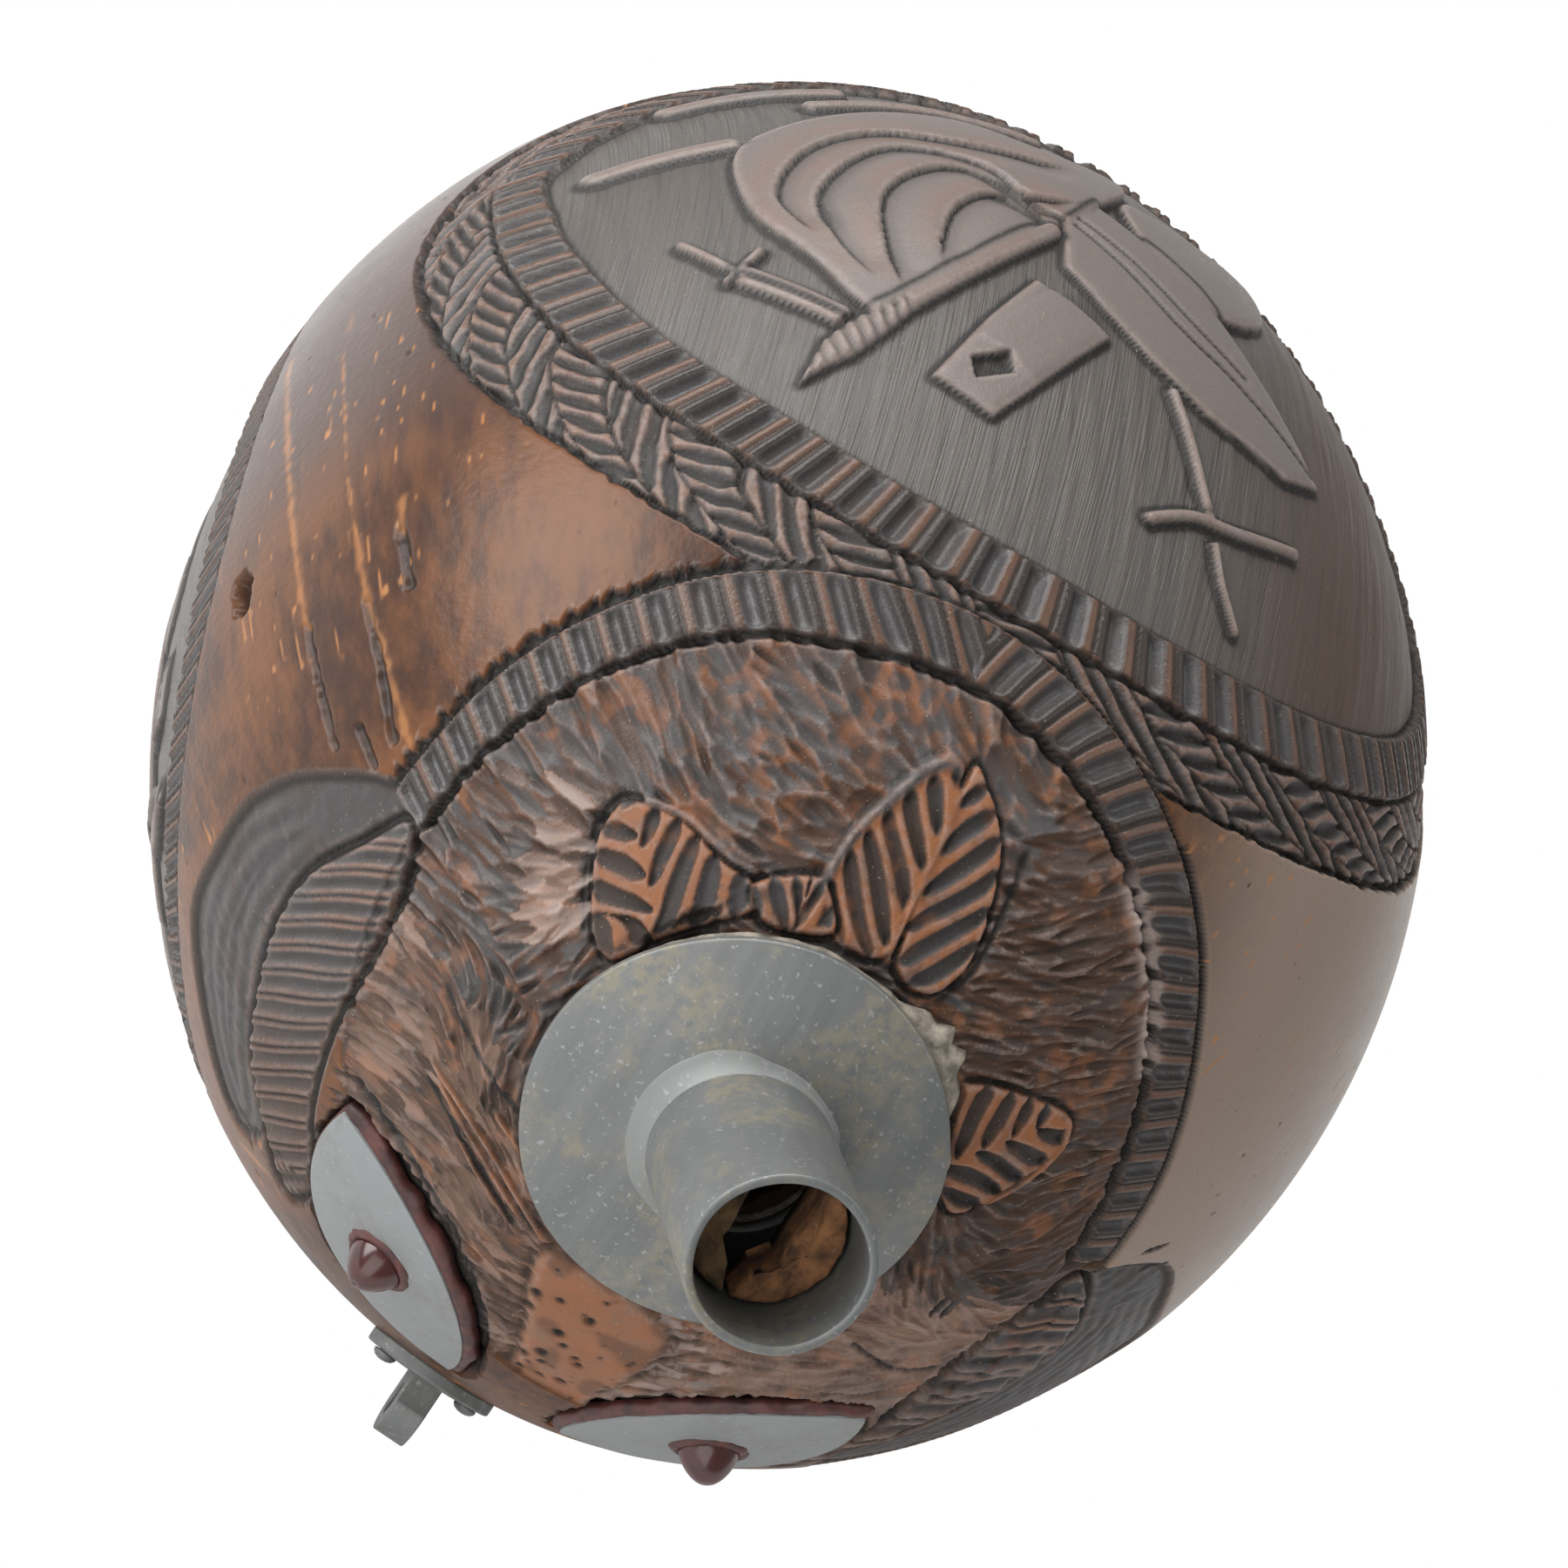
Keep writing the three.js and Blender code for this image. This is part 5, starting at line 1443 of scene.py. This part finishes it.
def shellMaterial(look):
    material, nodes = newMaterial("carved_coconut")
    mixed, ramped, times, plus = nodes.mixed, nodes.ramped, nodes.times, nodes.plus
    where = nodes.where()
    side, lengthwise, _ = nodes.add("ShaderNodeSeparateXYZ", Vector=where).outputs
    broad = nodes.noised(where, 45, 3)
    middle = nodes.noised(where, 260, 5)
    fine = nodes.noised(where, 1400, 6)
    fibre = nodes.noised(where, 620, 4, (1.0, 0.06, 1.0))
    grain = nodes.noised(where, 4200, 3)
    scraper = nodes.noised(where, 5200, 2, (1.0, 0.012, 0.0))
    names = ("grimeAndShadow", "wear", "carved", "field", "streak", "pale", "shade", "edge", "rung", "rungAcross")
    mask = {name: nodes.add("ShaderNodeAttribute", {"attribute_name": name}).outputs["Fac"] for name in names}
    # Carved wood goes from grey hollows through brown to rosy
    tone = mixed(ramped(mask["shade"], 0.12, 0.38), look["hollow"], look["brown"])
    tone = mixed(ramped(mask["shade"], 0.38, 0.7), tone, look["rosy"])
    tone = mixed(times(ramped(middle, 0.45, 0.7), 0.5), tone, look["brown"])
    # Plain polished lobes, greyer above; the pale grey on the right is a painted sheen
    cloudy = plus(times(broad, 0.6), times(fibre, 0.4))
    lobe = mixed(ramped(cloudy, 0.40, 0.62), look["lobeDark"], look["lobeBright"])
    lobe = mixed(ramped(lengthwise, -0.024, -0.006), lobe, look["lobeUpper"])
    lobe = mixed(ramped(side, 0.012, 0.03), lobe, look["lobeSheen"])
    tone = mixed(mask["carved"], lobe, tone)
    # Scraped ground of the panels and the motifs left standing in it; the motifs' lighter tone is partly a painted
    # sheen
    deep = ramped(mask["field"], 0.6, 0.9)
    ground = mixed(ramped(side, 0.008, 0.03), look["field"], look["brown"])
    ground = mixed(ramped(mask["field"], 0.75, 0.55), ground, look["motif"])
    ground = mixed(times(ramped(scraper, 0.45, 0.68), times(deep, 0.55)), ground, look["fieldDark"])
    tone = mixed(ramped(mask["field"], 0.0, 0.4), tone, ground)
    # Ladder bands: the last part of each rung is dark from its line on, with a worn edge at its end
    share = nodes.math("FRACT", mask["rung"])
    inBand = ramped(mask["rungAcross"], 0.93, 0.83)
    darkEnd = times(ramped(share, 0.775, 0.80), inBand)
    rungEdge = times(times(ramped(share, 0.95, 0.99), inBand), nodes.math("SUBTRACT", 1.0, darkEnd))
    worn = times(mask["wear"], ramped(middle, 0.25, 0.55))
    worn = times(worn, plus(0.25, times(ramped(mask["rungAcross"], 0.9, 1.1), 0.75)))
    worn = nodes.math("MAXIMUM", worn, times(rungEdge, times(mask["wear"], 1.5)))
    tone = mixed(worn, tone, look["warm"])
    # Pale grey on crests outside the bands: a painted highlight over burnished wear
    outsideBand = times(ramped(mask["rungAcross"], 0.85, 1.0), 0.35)
    tone = mixed(times(mask["edge"], times(ramped(fine, 0.3, 0.6), outsideBand)), tone, look["edge"])
    # Darkening: grime in grooves together with painted shadow and shade, and the dark end of each rung
    darkening = nodes.math("MAXIMUM", times(mask["grimeAndShadow"], ramped(fine, 0.05, 0.5)), times(darkEnd, 0.85))
    tone = mixed(darkening, tone, look["grimeAndShadow"])
    tone = mixed(times(mask["streak"], 0.8), tone, look["streak"])
    # Pale patches: painted sheen on the face, pale crust on the arch
    tone = mixed(mask["pale"], tone, look["pale"])
    # Dust and dark specks
    dusty = times(mask["carved"], ramped(grain, 0.66, 0.74))
    tone = mixed(times(dusty, 0.55), tone, look["dust"])
    tone = mixed(times(ramped(grain, 0.36, 0.26), 0.55), tone, look["grimeAndShadow"])
    rough = plus(times(mask["carved"], 0.06), times(middle, 0.14), times(mask["grimeAndShadow"], 0.18))
    rough = plus(rough, times(mask["field"], 0.08), 0.24)
    gloss = plus(times(ramped(side, 0.0, -0.035), 0.2), times(mask["field"], 0.25), times(mask["carved"], 0.05))
    gloss = plus(gloss, times(inBand, 0.25), 0.09)
    nodes.shade(Base_Color=tone, Roughness=rough, Specular_IOR_Level=gloss)
    # Fine relief
    relief = plus(fine, times(fibre, 0.5), times(grain, mask["carved"]))
    relief = nodes.math("SUBTRACT", relief, times(darkEnd, 2.0))
    relief = nodes.math("SUBTRACT", relief, times(ramped(share, 0.44, 0.50), inBand))
    relief = plus(relief, times(times(scraper, deep), 3.5))
    nodes.bumped(relief, 0.4, 0.00012)
    return material


shell.data.materials.append(shellMaterial(shellLook))
print("stage: shell dressed")


# Pewter, solder, bedding, wax, cork and beads
metals = {
    "pewter": {"tone": (0.132, 0.138, 0.137), "stain": (0.200, 0.182, 0.135), "rough": 0.47, "metal": 0.4},
    "eye_pewter": {"tone": (0.235, 0.245, 0.248), "stain": (0.21, 0.215, 0.205), "rough": 0.55, "metal": 0.35},
    "solder": {"tone": (0.19, 0.197, 0.193), "stain": (0.20, 0.205, 0.195), "rough": 0.55, "metal": 0.4},
    "loop_pewter": {"tone": (0.13, 0.135, 0.13), "stain": (0.09, 0.09, 0.075), "rough": 0.5, "metal": 0.4},
}


def metalMaterial(name, look):
    material, nodes = newMaterial(name)
    where = nodes.where()
    broad = nodes.noised(where, 150, 4)
    stipple = nodes.noised(where, 1100, 4)
    specks = nodes.noised(where, 1900, 3)
    scratch = nodes.noised(where, 700, 4, stretch=(1.0, 0.15, 0.15))
    stained = nodes.times(nodes.ramped(broad, 0.45, 0.62), nodes.ramped(stipple, 0.35, 0.6))
    tone = nodes.mixed(stained, colour(*look["tone"]), colour(*look["stain"]))
    tone = nodes.mixed(nodes.times(nodes.ramped(specks, 0.6, 0.7), 0.6), tone, colour(0.34, 0.35, 0.34))
    tone = nodes.mixed(nodes.times(nodes.ramped(scratch, 0.3, 0.7), 0.2), tone, colour(0.25, 0.26, 0.26))
    nodes.shade(Base_Color=tone)
    nodes.shade(Metallic=look["metal"])
    rough = nodes.plus(nodes.times(broad, 0.14), look["rough"] - 0.07)
    nodes.shade(Roughness=rough)
    nodes.bumped(nodes.plus(specks, scratch), 0.12, 0.00008)
    return material


def dull(name, low, high, scale, rough, strength=0.6):
    material, nodes = newMaterial(name)
    where = nodes.where()
    mottle = nodes.noised(where, scale, 6)
    nodes.shade(Base_Color=nodes.mixed(nodes.ramped(mottle, 0.3, 0.7), low, high))
    nodes.shade(Roughness=rough)
    nodes.bumped(mottle, strength, 0.0003)
    return material


pewter, eyePewter, solder, loopPewter = (metalMaterial(name, look) for name, look in metals.items())
pitch = dull("pitch", colour(0.09, 0.078, 0.062), colour(0.33, 0.29, 0.235), 800, 0.9)
wax = dull("wax", colour(0.028, 0.010, 0.009), colour(0.10, 0.028, 0.022), 600, 0.5, 0.4)
corkBrown = dull("cork", colour(0.05, 0.022, 0.010), colour(0.24, 0.105, 0.040), 520, 0.9, 0.9)
corkOlive = dull("cork_olive", colour(0.035, 0.022, 0.010), colour(0.15, 0.088, 0.038), 520, 0.9, 0.9)


def beadMaterial():
    material, nodes = newMaterial("paste_bead")
    where = nodes.where()
    cloud = nodes.noised(where, 420, 3)
    dark, light = colour(0.036, 0.006, 0.005), colour(0.066, 0.012, 0.009)
    nodes.shade(Base_Color=nodes.mixed(nodes.ramped(cloud, 0.3, 0.7), dark, light))
    nodes.shade(Roughness=0.24)
    nodes.shade(Coat_Weight=0.25)
    nodes.shade(Coat_Roughness=0.06)
    return material


beadPaste = beadMaterial()


def finishPiece(made, material, slotName, *nodes):
    made.data.materials.append(material)
    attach(made, "root")
    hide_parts(*nodes)
    return made


def drop(radius, at):
    return radius - np.sqrt(radius**2 - at**2)


# Spout: flange, tube, solder and bedding
def buildFlange(spout):
    outer, inner = spout["flangeRadius"], spout["tubeRadius"] - 0.4
    radii = np.linspace(inner, outer, 12)
    low = [(r, spout["under"] - drop(spout["dish"], r)) for r in radii]
    high = [(r, spout["under"] + spout["flangeThickness"] - drop(spout["dish"], r)) for r in radii[::-1]]
    edge = rounded([low[-2], low[-1], high[0], high[1]], 0.25, 5)[5:15]
    profile = np.vstack([low[:-1], edge, high[1:]])

    def wobble(radius, height, angle):
        share = (radius / outer) ** 3
        radius = radius + share * (0.10 * np.sin(2 * angle + 0.5) + 0.06 * np.sin(5 * angle))
        return radius, height + share * 0.12 * np.sin(3 * angle + 1.0)

    return turnedPiece("spout_flange_plate", profile, spoutFrame, 192, wobble)


def buildTube(spout):
    bore, outer = spout["tubeRadius"] - spout["wall"], spout["tubeRadius"]
    lip = spout["under"] + spout["flangeThickness"] + spout["length"]
    corners = [(bore, -1.2), (outer, -1.2), (outer, lip), (bore + 0.02, lip)]
    shape = rounded(corners, 0.3, 6)
    rows = []
    for a, b in zip(shape, np.vstack([shape[1:], shape[:1]])):
        steps = max(1, int(np.linalg.norm(b - a) / 2.5))
        rows += [a + (b - a) * t for t in np.linspace(0, 1, steps, endpoint=False)]

    def wobble(radius, height, angle):
        dent = 0.05 * np.sin(2 * angle + 1.3) * height / lip + 0.03 * np.sin(5 * angle) * (height > lip - 1)
        return radius + dent, height

    return turnedPiece("spout_neck", rows, tubeFrame, 160, wobble)


def buildSolder(spout):
    steps = 160
    angle = circle(steps)
    low = spout["under"] + spout["flangeThickness"]
    heavy = 0.5 + 0.5 * np.cos(angle - math.radians(175))
    ripple = ringNoise(angle, 7, 1.6, 51)
    width = 0.35 + 1.5 * heavy**1.6 + 0.5 * (ripple - 0.5)
    tall = 0.35 + 0.9 * heavy + 0.25 * (ripple - 0.5)
    rows = []
    axis = np.linalg.inv(spoutFrame) @ tubeFrame
    for t in np.linspace(0, 1, 9):
        radius = spout["tubeRadius"] - 0.15 + (width + 0.15) * t
        lift = tall * (1 - t) ** 2 + 0.05
        x = spout["shift"][0] + axis[0, 2] * (low + lift) + radius * np.cos(angle)
        y = spout["shift"][1] + axis[1, 2] * (low + lift) + radius * np.sin(angle)
        z = low + lift - drop(spout["dish"], np.hypot(x, y)) - (0.12 if t > 0.99 else 0)
        rows.append(np.stack([x, y, z], -1))
    rows.append(rows[-1] - [0, 0, 0.3])
    inner = rows[0].copy()
    inner[:, 2] = low - 0.6
    rows.append(inner)
    return skin("spout_solder_fillet", rows, spoutFrame)


# Crumbs of the bedding at the flange's edge: angle, width and size
bedding = {
    "crumbs": [(52, 0.28, 1.9), (20, 0.16, 0.5), (95, 0.2, 0.3)],
    "dish": 46.0,
    "rows": [(0.42, 0.15), (0.9, 0.3), (0.97, 0.25), (1.0, -0.05), (1.01, -0.5), (0.97, -0.9), (0.42, -0.9)],
}


def buildBedding(spout):
    steps = 220
    angle = circle(steps)
    rough = ringNoise(angle, 15, 1.3, 61)
    crumb = sum(size * bump(math.radians(at), width, angle) for at, width, size in bedding["crumbs"])
    outer = spout["flangeRadius"] - 0.9 + 0.4 * rough + crumb * (0.9 + 1.1 * rough)
    rows = []
    for share, level in bedding["rows"]:
        radius = outer * share
        wave = 0.25 * (ringNoise(angle, radius, 0.8, 62) - 0.5)
        z = level + wave * (share > 0.95) - drop(bedding["dish"], radius)
        rows.append(np.stack([radius * np.cos(angle), radius * np.sin(angle), z], -1))
    return skin("spout_bedding_pitch", rows, spoutFrame)


finishPiece(buildFlange(spout), pewter, "pewter", "spout_flange")
tube = finishPiece(buildTube(spout), pewter, "pewter", "spout_tube")
sharpen(tube, 60)
finishPiece(buildSolder(spout), solder, "solder", "spout_solder")
finishPiece(buildBedding(spout), pitch, "pitch", "spout_bedding")


# Two rough pieces of the cork that broke in the bore, with a gap between them
cork = {
    "steps": 140,
    "radius": 5.79,
    "inner": [(0.05, -0.98), (0.18, -0.64), (0.406, -0.38), (0.406, 0.0), (0.426, 0.35), (0.406, 0.86)],
    "arc": (60, -86),
    "levels": (9.7, 14.8),
}


def buildCork(name, flank, seed):
    corners = [(flank * x * cork["radius"], y * cork["radius"]) for x, y in cork["inner"]]
    arc = np.radians(np.linspace(*cork["arc"], 24))
    corners += [(flank * cork["radius"] * math.cos(a), cork["radius"] * math.sin(a)) for a in arc]
    ring = np.array(corners)
    step = np.linalg.norm(np.roll(ring, -1, 0) - ring, axis=1)
    at = np.linspace(0, step.sum(), cork["steps"], endpoint=False)
    passed = np.concatenate([[0], np.cumsum(step)])
    closed = np.vstack([ring, ring[:1]])
    ring = np.column_stack([np.interp(at, passed, closed[:, 0]), np.interp(at, passed, closed[:, 1])])
    middle = np.array([flank * cork["radius"] * 0.62, -0.1 * cork["radius"]])
    low, high = cork["levels"]
    rows = []
    sides = [(1, low + 1.7), (1, low + 3.4), (1, high - 0.6), (0.96, high - 0.15)]
    bottom, face = (0.02, 0.5, 1), (0.88, 0.7, 0.5, 0.3, 0.1, 0.02)
    for share, level in [(share, low) for share in bottom] + sides + [(share, high) for share in face]:
        flat = middle + (ring - middle) * share
        lumps = noise(np.column_stack([flat, np.full(len(flat), level)]), 1.1, seed) - 0.5
        lumps += 0.5 * (noise(np.column_stack([flat, np.full(len(flat), level)]), 0.45, seed + 1) - 0.5)
        inwards = 1 - 0.05 * np.abs(lumps) * (share == 1)
        z = level + (0.9 * lumps - 0.35) * (level > high - 0.3)
        rows.append(np.column_stack([middle + (flat - middle) * inwards[:, None], z]))
    return skin(name, rows, tubeFrame, ring=False, flip=flank > 0)


finishPiece(buildCork("cork_chunk_right", -1, 95), corkOlive, "cork", "cork_piece_right")
finishPiece(buildCork("cork_chunk_left", 1, 97), corkBrown, "cork", "cork_piece_left")
print("stage: spout")


# Eyes: thin curved plates let into red wax, with pointed beads
eyeLook = {"proud": 0.3, "thickness": 0.7, "waxMargin": 1.3, "beadRadius": 2.4, "beadHeight": 3.5, "beadSunk": 0.5}


def onShell(base, local, rise):
    flat = placed(base, np.column_stack([local, np.zeros(len(local))]))
    found = dropOnNut(flat + 3 * base[:3, 2], -base[:3, 2])
    rise = np.broadcast_to(rise, (len(found),))
    return found + rise[:, None] * base[:3, 2]


def buildEyePlate(name, eye, look):
    base = eyeFrame(eye)
    rows, columns = 61, 15
    along = -np.cos(np.linspace(0, math.pi, rows)) * eye["length"] / 2 * 0.995
    half = np.maximum(almondHalf(eye, along), 0.03)
    across = np.linspace(-1, 1, columns)
    local = np.stack([np.repeat(along[:, None], columns, 1), half[:, None] * across[None, :]], -1).reshape(-1, 2)
    edge = np.abs(np.tile(across, rows)) ** 8 * 0.10
    dent = 0.14 * (noise(local, 5.0, 71 + eye["side"]) - 0.5)
    upper = onShell(base, local, look["proud"] - edge + dent)
    lower = onShell(base, local, look["proud"] - look["thickness"])
    points = np.vstack([upper, lower])
    count = len(upper)
    faces = [gridFaces(rows, columns, flip=True), gridFaces(rows, columns, start=count)]
    border = [i * columns for i in range(rows)] + [(rows - 1) * columns + j for j in range(1, columns)]
    border += [i * columns + columns - 1 for i in range(rows - 2, -1, -1)] + list(range(columns - 2, 0, -1))
    border = np.array(border)
    after = np.roll(border, -1)
    faces.append(np.stack([border, after, after + count, border + count], -1))
    made = makeObject(name, points, np.vstack(faces))
    sharpen(made, 50)
    return made


def buildEyeWax(name, eye, look):
    base = eyeFrame(eye)
    steps = 180
    turn = circle(steps)
    along = -np.cos(turn) * eye["length"] / 2
    flank = np.sign(np.sin(turn) + 1e-9)
    edge = np.stack([along, flank * np.maximum(almondHalf(eye, along), 0)], -1)
    tangent = np.roll(edge, -1, 0) - np.roll(edge, 1, 0)
    outwards = np.stack([-tangent[:, 1], tangent[:, 0]], -1) * -1
    outwards /= np.linalg.norm(outwards, axis=1, keepdims=True) + 1e-9
    if (outwards * edge).sum() < 0:
        outwards *= -1
    ragged = noise(np.column_stack([along, flank * 3]), (1.4, 1.0), 81)
    margin = look["waxMargin"] * (0.45 + 0.7 * ragged) * np.where(flank * eye["side"] > 0, 0.75, 0.2)
    rows = []
    for share, rise in [
        (-0.5, -0.35), (-0.2, 0.02), (0.25, 0.1), (0.6, 0.0), (0.9, -0.25), (1.1, -0.9), (-0.5, -0.9),
    ]:
        local = edge + outwards * (share * margin)[:, None]
        lumps = 0.22 * (noise(local, 0.7, 82) - 0.5) * (share > -0.3)
        rows.append(onShell(base, local, rise + lumps))
    # Ring of wax round the bead
    cup = []
    lumps = 0.35 * (ringNoise(turn, 2.4, 0.8, 83) - 0.5)
    for radius, level in [
        (2.0, -0.2), (2.35, 0.45), (2.6, 0.6), (2.95, 0.45), (3.2, 0.15), (3.1, -0.3), (2.0, -0.4),
    ]:
        wide = radius + lumps * (radius > 2.4)
        ring = np.stack([wide * np.cos(turn), wide * np.sin(turn), level + lumps * 0.4], -1)
        cup.append(placed(base, ring))
    ring, cup = np.array(rows).reshape(-1, 3), np.array(cup).reshape(-1, 3)
    faces = [gridFaces(len(rows), steps, ring=True, flip=True), gridFaces(7, steps, ring=True, start=len(ring))]
    return makeObject(name, np.vstack([ring, cup]), np.vstack(faces))


def buildBead(name, eye, look):
    body = look["beadHeight"] - look["beadSunk"]
    profile = [(0.02, -look["beadSunk"]), (look["beadRadius"] * 0.9, -look["beadSunk"])]
    for t in np.linspace(0, 1, 22):
        wide = look["beadRadius"] * math.sqrt(1 - t**2) * (1 - 0.22 * t)
        profile.append((max(wide, 0.03), 0.35 + t * (body - 0.35)))
    return turnedPiece(name, profile, eyeFrame(eye), 72)


for sideName, eye in eyes.items():
    for build, part, material, slotName in (
        (buildEyeWax, "wax", wax, "wax"),
        (buildEyePlate, "plate", eyePewter, "pewter"),
        (buildBead, "bead", beadPaste, "paste"),
    ):
        made = build("eye_" + sideName + "_" + part, eye, eyeLook)
        finishPiece(made, material, slotName, "eye_" + part + "_" + sideName)
print("stage: eyes")

# Strap loop on its plate, with two pins
loop = {
    "azimuth": -170.0,
    "latitude": -46.5,
    "turn": 8.0,
    "level": 0.3,
    "plate": (11.5, 8.0, 0.8),
    "width": 6.0,
    "height": 5.3,
    "thickness": 2.7,
    "hole": 3.0,
    "pinSpacing": 7.8,
}
loopFrame = surfaceFrame(loop["azimuth"], loop["latitude"], (1, 0, 0))


def bevelled(made, width=0.25, segments=3):
    modifier = made.modifiers.new("bevel", "BEVEL")
    modifier.width = width * mm
    modifier.segments = segments
    modifier.limit_method = "ANGLE"
    modifier.angle_limit = math.radians(40)
    sharpen(made, 40)


def buildLoopPlate(loop):
    length, width, thickness = loop["plate"]
    steps = 72
    angle = circle(steps)
    rows = []
    for share in (0.05, 0.5, 0.9, 1.0):
        ring = np.stack([length / 2 * share * np.cos(angle), width / 2 * share * np.sin(angle)], -1)
        rows.append(onShell(loopFrame, ring, loop["level"] + thickness))
    ring = np.stack([length / 2 * np.cos(angle), width / 2 * np.sin(angle)], -1)
    rows.append(onShell(loopFrame, ring, loop["level"] - 0.4))
    rows.append(onShell(loopFrame, ring * 0.05, loop["level"] - 0.4))
    made = skin("loop_base_plate", rows, ring=False)
    bevelled(made, 0.2)
    return made


def buildLug(loop):
    half = loop["width"] / 2
    centre = loop["height"] - half
    steps = 60
    angle = np.linspace(-math.pi / 2, 1.5 * math.pi, steps, endpoint=False)
    outer = []
    for a in angle:
        y, z = half * math.cos(a), centre + half * math.sin(a)
        if z < centre:
            z = max(centre - abs(half * 2 * (1 - abs(math.cos(a)))), -0.3)
            z = -0.3 if abs(math.cos(a)) < 0.97 else z
        outer.append((y, z))
    outer = np.array(outer)
    inner = np.stack([loop["hole"] / 2 * np.cos(angle), centre + loop["hole"] / 2 * np.sin(angle)], -1)
    rows = []
    for ring, sideways in ((inner, -0.5), (outer, -0.5), (outer, 0.5), (inner, 0.5)):
        x = np.full(steps, sideways * loop["thickness"])
        rows.append(np.column_stack([x, ring[:, 0], ring[:, 1] + loop["level"] + loop["plate"][2]]))
    made = skin("loop_lug", rows, turnedFrame(loopFrame, "z", loop["turn"]))
    bevelled(made, 0.35)
    return made


def buildPin(name, flank):
    foot = np.array([[flank * loop["pinSpacing"] / 2, 0.0]])
    base = loopFrame.copy()
    base[:3, 3] = onShell(loopFrame, foot, loop["level"] + loop["plate"][2])[0]
    profile = [
        (0.02, -2.8), (0.6, -2.8), (0.6, -0.05), (1.0, -0.02), (0.98, 0.25), (0.75, 0.5), (0.4, 0.64),
        (0.02, 0.68),
    ]
    return turnedPiece(name, profile, base, 40)


finishPiece(buildLoopPlate(loop), loopPewter, "pewter", "loop_plate")
finishPiece(buildLug(loop), loopPewter, "pewter", "strap_loop")
finishPiece(buildPin("loop_rivet_right", -1), loopPewter, "pewter", "loop_pin_right")
finishPiece(buildPin("loop_rivet_left", 1), loopPewter, "pewter", "loop_pin_left")
print("stage: strap loop")


# Floor, light and view settings, in metres
studio = {"floor": 4, "floorTone": 0.82, "floorRough": 0.9, "world": 0.36, "lightDistance": 0.75}


def buildStage():
    mesh = bpy.data.meshes.new("floor")
    far = studio["floor"]
    mesh.from_pydata([(-far, -far, 0), (far, -far, 0), (far, far, 0), (-far, far, 0)], [], [(0, 1, 2, 3)])
    floor = newObject("floor", mesh)
    material, nodes = newMaterial("pale_floor")
    nodes.shade(Base_Color=colour(*(studio["floorTone"],) * 3), Roughness=studio["floorRough"])
    glow = nodes.add("ShaderNodeEmission", Color=colour(1, 1, 1), Strength=1.0).outputs[0]
    seen = nodes.add("ShaderNodeLightPath").outputs["Is Camera Ray"]
    choice = nodes.add("ShaderNodeMixShader", i0=seen, i1=nodes.shader.outputs[0], i2=glow)
    output = next(n for n in nodes.tree.nodes if n.type == "OUTPUT_MATERIAL")
    nodes.feed(output.inputs["Surface"], choice.outputs[0])
    mesh.materials.append(material)


def buildWorld(strength):
    world = bpy.data.worlds.new("studio")
    bpy.context.scene.world = world
    world.use_nodes = True
    nodes = Nodes(world.node_tree, "BACKGROUND")
    seen = nodes.add("ShaderNodeLightPath").outputs["Is Camera Ray"]
    level = nodes.add("ShaderNodeMapRange", Value=seen, To_Min=strength, To_Max=1.0)
    nodes.shade(Color=colour(1, 1, 1), Strength=level.outputs["Result"])


lights = [
    {"name": "key", "from": (-0.55, 0.75, 0.55), "size": 0.5, "power": 5.4},
    {"name": "top", "from": (0.15, 1.0, 0.25), "size": 0.45, "power": 4.2},
    {"name": "side", "from": (0.95, 0.25, 0.35), "size": 0.45, "power": 1.2},
    {"name": "fill", "from": (-0.3, -0.2, 1.0), "size": 0.7, "power": 3.0},
]


# Each light stands off from the flask along right, up and back of the view
def buildLight(light):
    made = bpy.data.lights.new(light["name"], "AREA")
    made.shape = "SQUARE"
    made.size = light["size"]
    made.energy = light["power"]
    axes = np.array([view["right"], view["up"], view["back"]])
    direction = np.array(light["from"]) @ axes
    direction /= np.linalg.norm(direction)
    where = direction * studio["lightDistance"] + [0, 0, axisHeight * mm]
    lamp = newObject(light["name"], made)
    lamp.location = where.tolist()
    lamp.rotation_mode = "QUATERNION"
    lamp.rotation_quaternion = Vector((-direction).tolist()).to_track_quat("-Z", "Y")


buildStage()
buildWorld(studio["world"])
for light in lights:
    buildLight(light)
bpy.context.scene.view_settings.view_transform = "Standard"
print("stage: studio")
